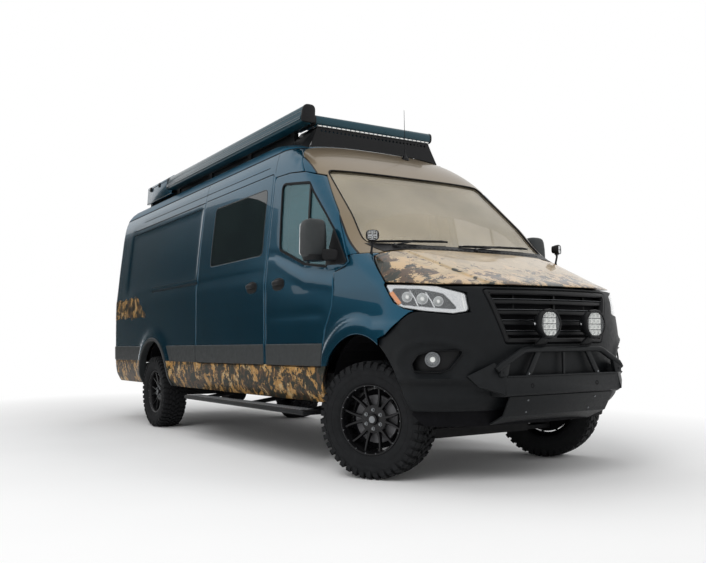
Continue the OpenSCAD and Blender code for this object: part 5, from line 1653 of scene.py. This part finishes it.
def wipers():
    h = Heap()
    out = lambda y, z, d: spot(front_point, y, z, d)
    for y0, z0, y1, z1, piv in ((-846, 1640, -168, 1676, -690), (-98, 1640, 690, 1672, 40)):
        pts = [(y0 + (y1 - y0) * q, z0 + (z1 - z0) * q) for q in np.linspace(0, 1, 22)]
        sweep(h, [out(y, z, -9) for y, z in pts], 5.5, 8, 0, False, 1.3)
        sweep(h, [out(y, z + 3, -17) for y, z in pts[1:-1]], [4] + [7] * 18 + [4], 8, 0)
        m = pts[11]
        base = out(piv, 1612, -6)
        lathe(h, [(0, -12), (20, -12), (20, 6), (15, 15), (0, 17)], base, Vector((0.6, 0, 0.8)), 20)
        sweep(h, [base + Vector((2, 0, 8)), out(piv + 0.35 * (m[0] - piv), 1634, -26), out(m[0], m[1] + 2, -27)],
              [11, 9, 6], 10, 0, False, 0.7)
        brick(h, (-12, -24, -7), (12, 24, 7), 4, 0, Matrix.Translation(out(m[0], m[1] + 2, -22)))
    h.make("wiper_arms", ["black"], "van", ["wipers"], sharp=45)
    h = Heap()
    low = both(level_run(HOOD_REAR - 9, 1560))
    top = [(math.copysign(run_at(abs(y), 1633, "y"), y) if y else 0.0, 1633) for y in np.linspace(882, -882, 61)]
    panel(h, low + top, [], wrap_point, lines(-1050, 1050, 40), lines(1570, 1630, 12), 12, 3, -3)
    for k in range(34):
        y = -700 + 42 * k + (14 if k > 16 else 0)
        p = out(y, 1606, -3)
        brick(h, (-3, -13, -2), (3, 13, 2), 1, 1, Matrix.Translation(p))
    h.make("cowl_strip", ["black", "dark"], "van", [], sharp=50)


awning()
light_bar()
roof_box()
air_unit()
antenna()
wipers()


# Dark seals in the gaps between panels, and dark lines as painted shade in the pressed grooves of the sides
def seals():
    h = Heap()
    heights = np.linspace(705, 2440, 30)
    for s in (1, -1):
        at = lambda x, z, d=7.0: spot(side_point, x, z, d, s)
        around = lambda x, z, d: spot(back_point, x, z, d, s)
        sweep(h, [around(x, 2580, 2.0) for x in np.linspace(-1170, back_at(20, 2580), 90)], 6.0, 8)
        sweep(h, [at(x, z) for x, z in dense(grown(FRONT_DOOR, 3.5), 40)], 3.0, 6, 0, True)
        if s < 0:
            gap = rounded([(-3003.5, 746.5), (-1446.5, 746.5), (-1446.5, 2393.5), (-3003.5, 2393.5)], 42)
            sweep(h, [at(x, z) for x, z in dense(gap, 40)], 3.0, 6, 0, True)
        for x in (-1430 if s < 0 else -1412, -3003):
            sweep(h, [at(x, z, 0.6) for z in np.linspace(2397 if s < 0 else 2362, 2579, 10)], 1.6, 6)
        # These three lines lie in the pressed grooves and on the window field's top edge: dark rubber as painted groove
        # shade.
        for z, x0, x1, r, d in ((2388, -5420, -3020, 3.2, -0.6), (2466, -5060, -1560, 2.6, 0.4),
                                (2330, -5380, -3080, 2.0, 0.4)):
            sweep(h, [around(x, z, d) for x in np.linspace(x0, x1, 60)], r, 6)
        sweep(h, [spot(rear_point, s * 793.5, z, 9) for z in heights], 2.8, 6)
        line = [(x, hood_line(x) - 3.5) for x in np.linspace(330, 96, 24)]
        sweep(h, [Vector(wrap_point([s * run_at(x, z, "x")], [z], 8.0)[0]) for x, z in line], 2.6, 6)
    sweep(h, [spot(rear_point, 0, z, 9) for z in heights], 3.0, 6)
    sweep(h, [spot(rear_point, y, 2445, 9) for y in np.linspace(-790, 790, 30)], 3.0, 6)
    sweep(h, [Vector(wrap_point([u], [z], 6.0)[0]) for u, z in both(cap_run(2.5))], 2.6, 6)
    h.make("panel_gap_seals_and_groove_shade", ["rubber"], "van", [], sharp=60)


seals()


# Rear end
def tail():
    for s, tag in SIDES:
        h = Heap()

        def cell(z0, z1, deep, thick, m, inset=0.0):
            """A lamp field round the rear corner."""
            rim = [(-5869.0 - inset, z) for z in np.linspace(z0, z1, 8)]
            rim += [(back_at(830, z) + inset, z) for z in np.linspace(z1, z0, 8)]
            panel(h, rim, [], back_on(s), [-5880 - 22 * i for i in range(9)], lines(z0, z1, 30), thick, 3, deep, m, m,
                  24)

        cell(1051, 1749, 6, 26, 0)
        for z0, z1, m in ((1064, 1218, 1), (1226, 1330, 2), (1338, 1452, 3), (1460, 1736, 1)):
            cell(z0, z1, -2, 8, m, 12)
        for z in np.arange(1480, 1730, 26):
            sweep(h, [spot(back_point, x, z, -2.6, s) for x in np.linspace(-5886, back_at(845, 1500), 8)], 2.0, 6, 4)
        h.make("tail_lamp_" + tag, ["black", "red", "amber", "led", "red"], "van", ["tail_lamps"], sharp=45)
    h = Heap()
    x = float(level(560)[4])
    foot = [(x - 45, 820), (x - 30, 860), (x + 22, 930), (x + 38, 930)]
    for z0, z1, g in ((500, 512, 8), (512, 600, 0), (600, 610, 6)):
        rings = []
        for z, k in ((z0, g if z0 < 512 else 0), (z1, g if z1 > 605 else 0)):
            half = [(a + k, b - k * 0.4) for a, b in foot] + [(x + 30, 930 - k * 0.4)]
            rings.append([(a, b, z) for a, b in half] + [(a, -b, z) for a, b in half[::-1]])
        loft(h, rings)
    for x0 in (x - 40, x - 27, x - 14):
        bar(h, [(x0, 609), (x0 + 7, 609), (x0 + 7, 613), (x0, 613)], "y", -620, 620, 1, 1)
    for s in (-1, 1):
        brick(h, (x - 48, s * 720 - 44, 536), (x - 41, s * 720 + 44, 562), 3, 2)
        lathe(h, [(0, 0), (12, 0), (12, 3), (9, 4), (0, 4)], (x - 45, s * 420, 572), (-1, 0, 0), 16, 1)
    h.make("rear_step", ["clad", "black", "red"], "van", ["rear_bumper"], sharp=40)
    x = REAR_FACE
    for s, tag in SIDES:
        h = Heap()
        for z in (985, 1800, 2300):
            lathe(h, [(0, -42), (8, -42), (9, -39), (9, 39), (8, 42), (0, 42)], (x - 5, s * 793, z), (0, 0, 1), 16)
            brick(h, (x - 8, s * 728, z - 32), (x - 1, s * 788, z + 32), 3)
            for e in (-16, 16):
                stud(h, (x - 8, s * 748, z + e), (-1, 0, 0), 6, 4, 1)
        if s < 0:
            loft(h, grip(lambda lift, t: 7 * math.cos(t) - lift,
                         lambda q, out, t: (x - 3 + out, -66 + 13 * math.sin(t), 1270 + 170 * q), 11))
            dish = rounded([(-94, 1250), (-38, 1250), (-38, 1460), (-94, 1460)], 20)
            plate(h, dish, lambda u, v, w: (x - 3 + w, u, v), 6, 2)
        rail = rounded([(s * 70, 1545), (s * 700, 1545), (s * 700, 1575), (s * 70, 1575)], 8)
        plate(h, rail, lambda u, v, w: (x - 5 + w, u, v), 7, 2)
        h.make("rear_fittings_" + tag, ["black", "grey"], "rear_door_" + tag, [], sharp=45)
    h = Heap()
    high = rounded([(-190, 2482), (190, 2482), (190, 2516), (-190, 2516)], 10)
    panel(h, high, [], rear_point, lines(-190, 190, 40), [2490, 2508], 14, 4, -8)
    h.make("high_lamp", ["red"], "van", [], sharp=45)


tail()


# Cab
def fabric(name, c, thread=700.0):
    """Woven cloth: two crossed sets of threads with some tone and a soft sheen."""
    p = Paint(name, 0.85, 0.0, Sheen_Weight=0.35, Sheen_Roughness=0.5, Specular_IOR_Level=0.2)
    waves = []
    for axis in ("X", "Y"):
        n = p.node("ShaderNodeTexWave", Vector=p.co, Scale=thread, Distortion=1.5, Detail=2.0)
        n.bands_direction = axis
        waves.append(n.outputs["Fac"])
    weave = p.math("MULTIPLY", waves[0], waves[1])
    tone = p.ramp(p.noise(14, 3.0), [(0.3, shade(c, 0.8)), (0.7, shade(c, 1.2))])
    p.color(p.mix(weave, tone, shade(c, 1.7)))
    p.bump(weave, 0.35, 0.0008)
    return p.m


M["cloth"] = fabric("seat_cloth", (0.045, 0.045, 0.048))
# Pale cloth for the left headrest, made bright as painted window light seen through the windscreen.
M["pale_cloth_window_light"] = fabric("headrest_cloth_window_light", (0.52, 0.52, 0.50))


def swell(ob, cap, voxel=0.009):
    """Blows a pad up as cloth under pressure; no point moves more than cap."""
    sc = bpy.context.scene

    def taken():
        dg = bpy.context.evaluated_depsgraph_get()
        return bpy.data.meshes.new_from_object(ob.evaluated_get(dg))

    md = ob.modifiers.new("even", "REMESH")
    md.mode = "VOXEL"
    md.voxel_size = voxel
    me = taken()
    ob.modifiers.clear()
    me.materials.clear()
    for m in ob.data.materials:
        me.materials.append(m)
    ob.data = me
    n = len(me.vertices)
    a = np.empty(n * 3)
    me.vertices.foreach_get("co", a)
    md = ob.modifiers.new("cloth", "CLOTH")
    md.settings.use_pressure = True
    md.settings.uniform_pressure_force = 4.0
    md.settings.effector_weights.gravity = 0.0
    md.collision_settings.use_collision = False
    md.point_cache.frame_start, md.point_cache.frame_end = 1, 20
    for f in range(1, 21):
        sc.frame_set(f)
    b = np.empty(n * 3)
    taken().vertices.foreach_get("co", b)
    ob.modifiers.clear()
    sc.frame_set(1)
    a, b = a.reshape(-1, 3), b.reshape(-1, 3)
    move = b - a
    size = np.linalg.norm(move, axis=1, keepdims=True)
    a = a + move * np.minimum(1.0, cap / np.maximum(size, 1e-9))
    me.vertices.foreach_set("co", a.ravel())
    me.polygons.foreach_set("use_smooth", np.ones(len(me.polygons), bool))
    me.update()


def sew(ob, seams, deep, width):
    """Sinks sewn channels: each seam gives the distance of a point (metres) from it."""
    me = ob.data
    n = len(me.vertices)
    a, nr = np.empty(n * 3), np.empty(n * 3)
    me.vertices.foreach_get("co", a)
    me.vertices.foreach_get("normal", nr)
    a, nr = a.reshape(-1, 3), nr.reshape(-1, 3)
    for seam in seams:
        a = a - nr * (deep * np.exp(-(seam(a) / width)**2))[:, None]
    me.vertices.foreach_set("co", a.ravel())
    me.update()


def pad(name, rows, mat, cap, seams):
    """A cushion lofted through rows of rounded outlines, then blown up and sewn."""
    h = Heap()
    loft(h, rows)
    ob = h.make(name, [mat], sharp=180)
    swell(ob, cap)
    sew(ob, seams, 0.007, 0.008)
    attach(ob, "van")
    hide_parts("front_seats")


# A seat's place, the half width of its sewn middle field in metres, and the rows of its cushions
SEAT_X, SEAT_Y, FIELD = -1080, 430, 0.145
CUSHION = ((-232, 150, 1030), (-222, 205, 1048), (-120, 232, 1062), (40, 236, 1070), (190, 234, 1078), (258, 210, 1080),
           (276, 160, 1072))
BACKREST = ((0.0, 170, 34), (0.03, 215, 42), (0.2, 236, 48), (0.5, 236, 44), (0.8, 222, 40), (0.95, 190, 36),
            (1.0, 140, 28))
HEADREST = ((0.0, 80, 24), (0.06, 112, 34), (0.5, 126, 38), (0.9, 112, 32), (1.0, 76, 20))


def seats():
    ax = AXLE_X / 1000
    for s, tag in SIDES:
        y0 = s * SEAT_Y

        def off(p):
            return np.abs(p[:, 1] - y0 / 1000)

        def welt(p):
            return np.abs(off(p) - FIELD)

        def across(axis, at):
            """A seam across the middle field at a place along x or z."""
            return lambda p: np.abs(p[:, axis] - at) + 10 * (off(p) > FIELD)

        rows = [[(SEAT_X + x, y0 + b, z + c * (1.0 if c > 0 else 0.95)) for b, c in oval(0, 0, k, 40, 44, 5.0)]
                for x, k, z in CUSHION]
        pad("seat_cushion_" + tag, rows, "cloth", 0.016, [welt, across(0, ax - 1.00), across(0, ax - 1.14)])
        rows = [[(SEAT_X - 196 - 118 * q + c, y0 + b, 1085 + 600 * q + 0.2 * c) for b, c in oval(0, 0, k, t, 44, 5.0)]
                for q, k, t in BACKREST]
        pad("seat_back_" + tag, rows, "cloth", 0.016, [welt, across(2, 1.30), across(2, 1.48)])
        rows = [[(SEAT_X - 288 - 20 * q + c, y0 + b, 1718 + 196 * q + 0.1 * c) for b, c in oval(0, 0, k, t, 36, 4.0)]
                for q, k, t in HEADREST]
        # The left headrest's pale cloth is partly painted light: the bright window seen behind the windscreen.
        pad("headrest_" + tag, rows, "pale_cloth_window_light" if s > 0 else "cloth", 0.01, [lambda p: np.abs(off(p) - 0.09)])
        h = Heap()
        for e in (-1, 1):
            sweep(h, [(-1368, y0 + e * 46, 1660), (-1372, y0 + e * 46, 1760)], 7, 10, 1)
            brick(h, (-1310, y0 + e * 238 - 14, 1010), (-1010, y0 + e * 238 + 14, 1070), 8)
            lathe(h, [(0, 0), (34, 0), (34, 10), (28, 14), (0, 14)], (-1276, y0 + e * 246, 1090), (0, e, 0), 20)
            brick(h, (-1290, y0 + e * 150 - 20, 712), (-850, y0 + e * 150 + 20, 734), 4, 1)
        foot = [(a, b, 716) for a in (-190, 190) for b in (-175, 175)]
        foot += [(a, b, 1010) for a in (-215, 205) for b in (-200, 200)]
        solid(h, [(SEAT_X + x, y0 + y, z) for x, y, z in foot], 10)
        h.make("seat_base_" + tag, ["cab", "grey"], "van", ["front_seats"], sharp=45)


def helm():
    o = Vector((-640, 430, 1480))
    n = Vector((-math.sin(math.radians(60)), 0, math.cos(math.radians(60))))
    e1 = Vector((0, 1, 0))
    e2 = n.cross(e1)
    at = lambda r, t, d=0.0: o + e1 * (r * math.cos(t)) + e2 * (r * math.sin(t)) + n * d
    h = Heap()
    sweep(h, [at(190, t) for t in np.linspace(0, 2 * math.pi, 64, endpoint=False)], 16, 14, 0, True)
    for t in (math.pi / 2, math.pi / 2 + 2 * math.pi / 3, math.pi / 2 - 2 * math.pi / 3):
        rings = []
        for q in np.linspace(0, 1, 7):
            r = 50 + 135 * q
            w = 26 - 10 * q
            tv = e1 * -math.sin(t) + e2 * math.cos(t)
            rings.append([at(r, t) + tv * a + n * b for a, b in ((-w, -6), (-w * 0.7, 5), (w * 0.7, 5), (w, -6),
                (w * 0.6, -10), (-w * 0.6, -10))])
        loft(h, rings, 0)
    lathe(h, [(0, 20), (40, 18), (60, 10), (68, -4), (64, -18), (30, -26), (0, -26)], o, n, 36, 0)
    lathe(h, [(0, -20), (40, -22), (54, -40), (58, -130), (40, -190), (0, -190)], o, n, 28, 0)
    for e in (-1, 1):
        sweep(h, [o + n * -60 + e1 * (e * 40), o + n * -52 + e1 * (e * 120), o + n * -46 + e1 * (e * 176)], [9, 7, 10],
              10, 1)
    h.make("steering_rim", ["cab", "black"], "van", ["steering_wheel"], sharp=45)
    h = Heap()
    # Dials under a hood, centre screen, vents and a tray line on the dashboard
    rings = []
    for x, k in ((-330, 0.86), (-350, 0.96), (-440, 1.0), (-500, 1.0), (-508, 0.94), (-470, 0.9)):
        rings.append([(x, 430 + 190 * k * math.cos(t), 1508 + 74 * k * max(math.sin(t), -0.1))
                      for t in np.linspace(0, 2 * math.pi, 32, endpoint=False)])
    loft(h, rings, 0)
    brick(h, (-500, 120, 1470), (-476, 300, 1590), 8, 1, Matrix.Translation((0, -210, 0)))
    for y in (-700, -260, 120, 700):
        lathe(h, [(0, 0), (44, 0), (46, 8), (40, 12), (34, 8), (0, 4)], (-470, y, 1506), Vector((-0.75, 0, 0.66)), 24,
              1)
    brick(h, (-518, -620, 1300), (-500, -260, 1400), 8, 0)
    for k in range(6):
        brick(h, (-512, -60 + 24 * k, 1330), (-498, -42 + 24 * k, 1346), 3, 1)
    h.make("dash_fittings", ["cab", "black"], "van", [], sharp=45)


seats()
helm()

# Camera at the photo's place: focal length and width in pixels, shifts, angles in degrees and place in metres
FOCAL_PX, WIDTH_PX, SENSOR = 789.8, 706, 36.0
CAM_SHIFT = (0.0116, 0.0085)
CAM_AZ, CAM_EL, CAM_ROLL = map(math.radians, (57.97, -4.14, -0.63))
CAM_X, CAM_Y, CAM_Z = 4.596, -3.969, 0.912
cam = bpy.data.objects.new("camera", bpy.data.cameras.new("camera"))
bpy.context.scene.collection.objects.link(cam)
cam.data.sensor_width, cam.data.lens = SENSOR, SENSOR * FOCAL_PX / WIDTH_PX
cam.data.shift_x, cam.data.shift_y = CAM_SHIFT
back = Vector((math.sin(CAM_AZ) * math.cos(CAM_EL), -math.cos(CAM_AZ) * math.cos(CAM_EL), math.sin(CAM_EL)))
cam.rotation_mode = "QUATERNION"
cam.rotation_quaternion = (-back).to_track_quat("-Z", "Y") @ Matrix.Rotation(CAM_ROLL, 3, "Z").to_quaternion()
cam.location = (CAM_X + AXLE_X / 1000, CAM_Y, CAM_Z)
cam.data.clip_start, cam.data.clip_end = 0.05, 200
bpy.context.scene.camera = cam


def seen_directly(t):
    """One for rays from the camera or by way of gloss or glass."""
    lp = t.nodes.new("ShaderNodeLightPath")
    out = lp.outputs["Is Camera Ray"]
    for name in ("Is Glossy Ray", "Is Transmission Ray"):
        n = t.nodes.new("ShaderNodeMath")
        n.operation = "MAXIMUM"
        t.links.new(out, n.inputs[0])
        t.links.new(lp.outputs[name], n.inputs[1])
        out = n.outputs[0]
    return out


# Studio: the world's light on the van, the dark screen, and the lamps' place, size and power
WORLD_LIGHT, SCREEN_Y = 0.5, -4.6
SCREEN_EDGE = [(-4.2, 0), (-30, 0), (-30, 7.0), (-12, 5.4), (-9.4, 4.6), (-8.6, 3.0), (-7.6, 1.9), (-4.2, 1.4)]
LAMPS = (("key", (6.5, -7.5, 7.5), 6.0, 480), ("top", (-0.5, -1.0, 8.5), 8.0, 230), ("fill", (8.0, 6.0, 5.0), 6.0, 160))


def studio():
    sc = bpy.context.scene
    sc.view_settings.view_transform = "Standard"
    w = bpy.data.worlds.new("studio")
    sc.world = w
    w.use_nodes = True
    t = w.node_tree
    bg = t.nodes["Background"]
    mx = t.nodes.new("ShaderNodeMix")
    mx.data_type = "FLOAT"
    t.links.new(seen_directly(t), mx.inputs[0])
    mx.inputs[2].default_value = WORLD_LIGHT
    mx.inputs[3].default_value = 1.0
    t.links.new(mx.outputs[0], bg.inputs["Strength"])
    bg.inputs["Color"].default_value = (1, 1, 1, 1)
    me = bpy.data.meshes.new("floor")
    me.from_pydata([(-40, -40, 0), (40, -40, 0), (40, 40, 0), (-40, 40, 0)], [], [(0, 1, 2, 3)])
    fl = bpy.data.objects.new("floor", me)
    sc.collection.objects.link(fl)
    p = Paint("floor_pale", 0.9)
    p.color(p.ramp(p.noise(0.6, 2.0), [(0.3, (0.86, 0.86, 0.86)), (0.7, (0.89, 0.89, 0.89))]))
    x, y, z = p.xyz()
    far = p.math("SQRT", p.math("ADD", p.math("POWER", p.math("DIVIDE", x, 4.4), 2.0),
                                p.math("POWER", p.math("DIVIDE", y, 2.4), 2.0)))
    fade = p.ramp(p.math("MULTIPLY", far, 0.25), [(0.22, 0.0), (0.5, 1.0)])
    glow = p.node("ShaderNodeEmission", Strength=1.0)
    mixed = p.node("ShaderNodeMixShader", Fac=p.math("MULTIPLY", fade, seen_directly(p.t)))
    p.t.links.new(p.b.outputs[0], mixed.inputs[1])
    p.t.links.new(glow.outputs[0], mixed.inputs[2])
    p.t.links.new(mixed.outputs[0], p.out.inputs[0])
    me.materials.append(p.m)
    # A dark screen beside the van that only its gloss shows
    ax = AXLE_X / 1000
    me = bpy.data.meshes.new("side_screen")
    me.from_pydata([(ax + x, SCREEN_Y, z) for x, z in SCREEN_EDGE], [], [tuple(range(len(SCREEN_EDGE)))])
    ss = bpy.data.objects.new("side_screen", me)
    sc.collection.objects.link(ss)
    q = Paint("screen_dark", 0.9)
    q.color(q.ramp(q.noise(0.9, 6.0, 0.65), [(0.4, (0.004, 0.008, 0.006)), (0.68, (0.03, 0.05, 0.04))]))
    me.materials.append(q.m)
    ss.visible_camera = ss.visible_diffuse = ss.visible_shadow = ss.visible_transmission = False
    for name, loc, size, power in LAMPS:
        li = bpy.data.lights.new(name, "AREA")
        li.shape = "DISK"
        li.size = size
        li.energy = power
        ob = bpy.data.objects.new(name, li)
        ob.location = loc
        ob.rotation_euler = (Vector((0, 0, 1.2)) - Vector(loc)).to_track_quat("-Z", "Y").to_euler()
        ob.visible_glossy = False
        sc.collection.objects.link(ob)


studio()
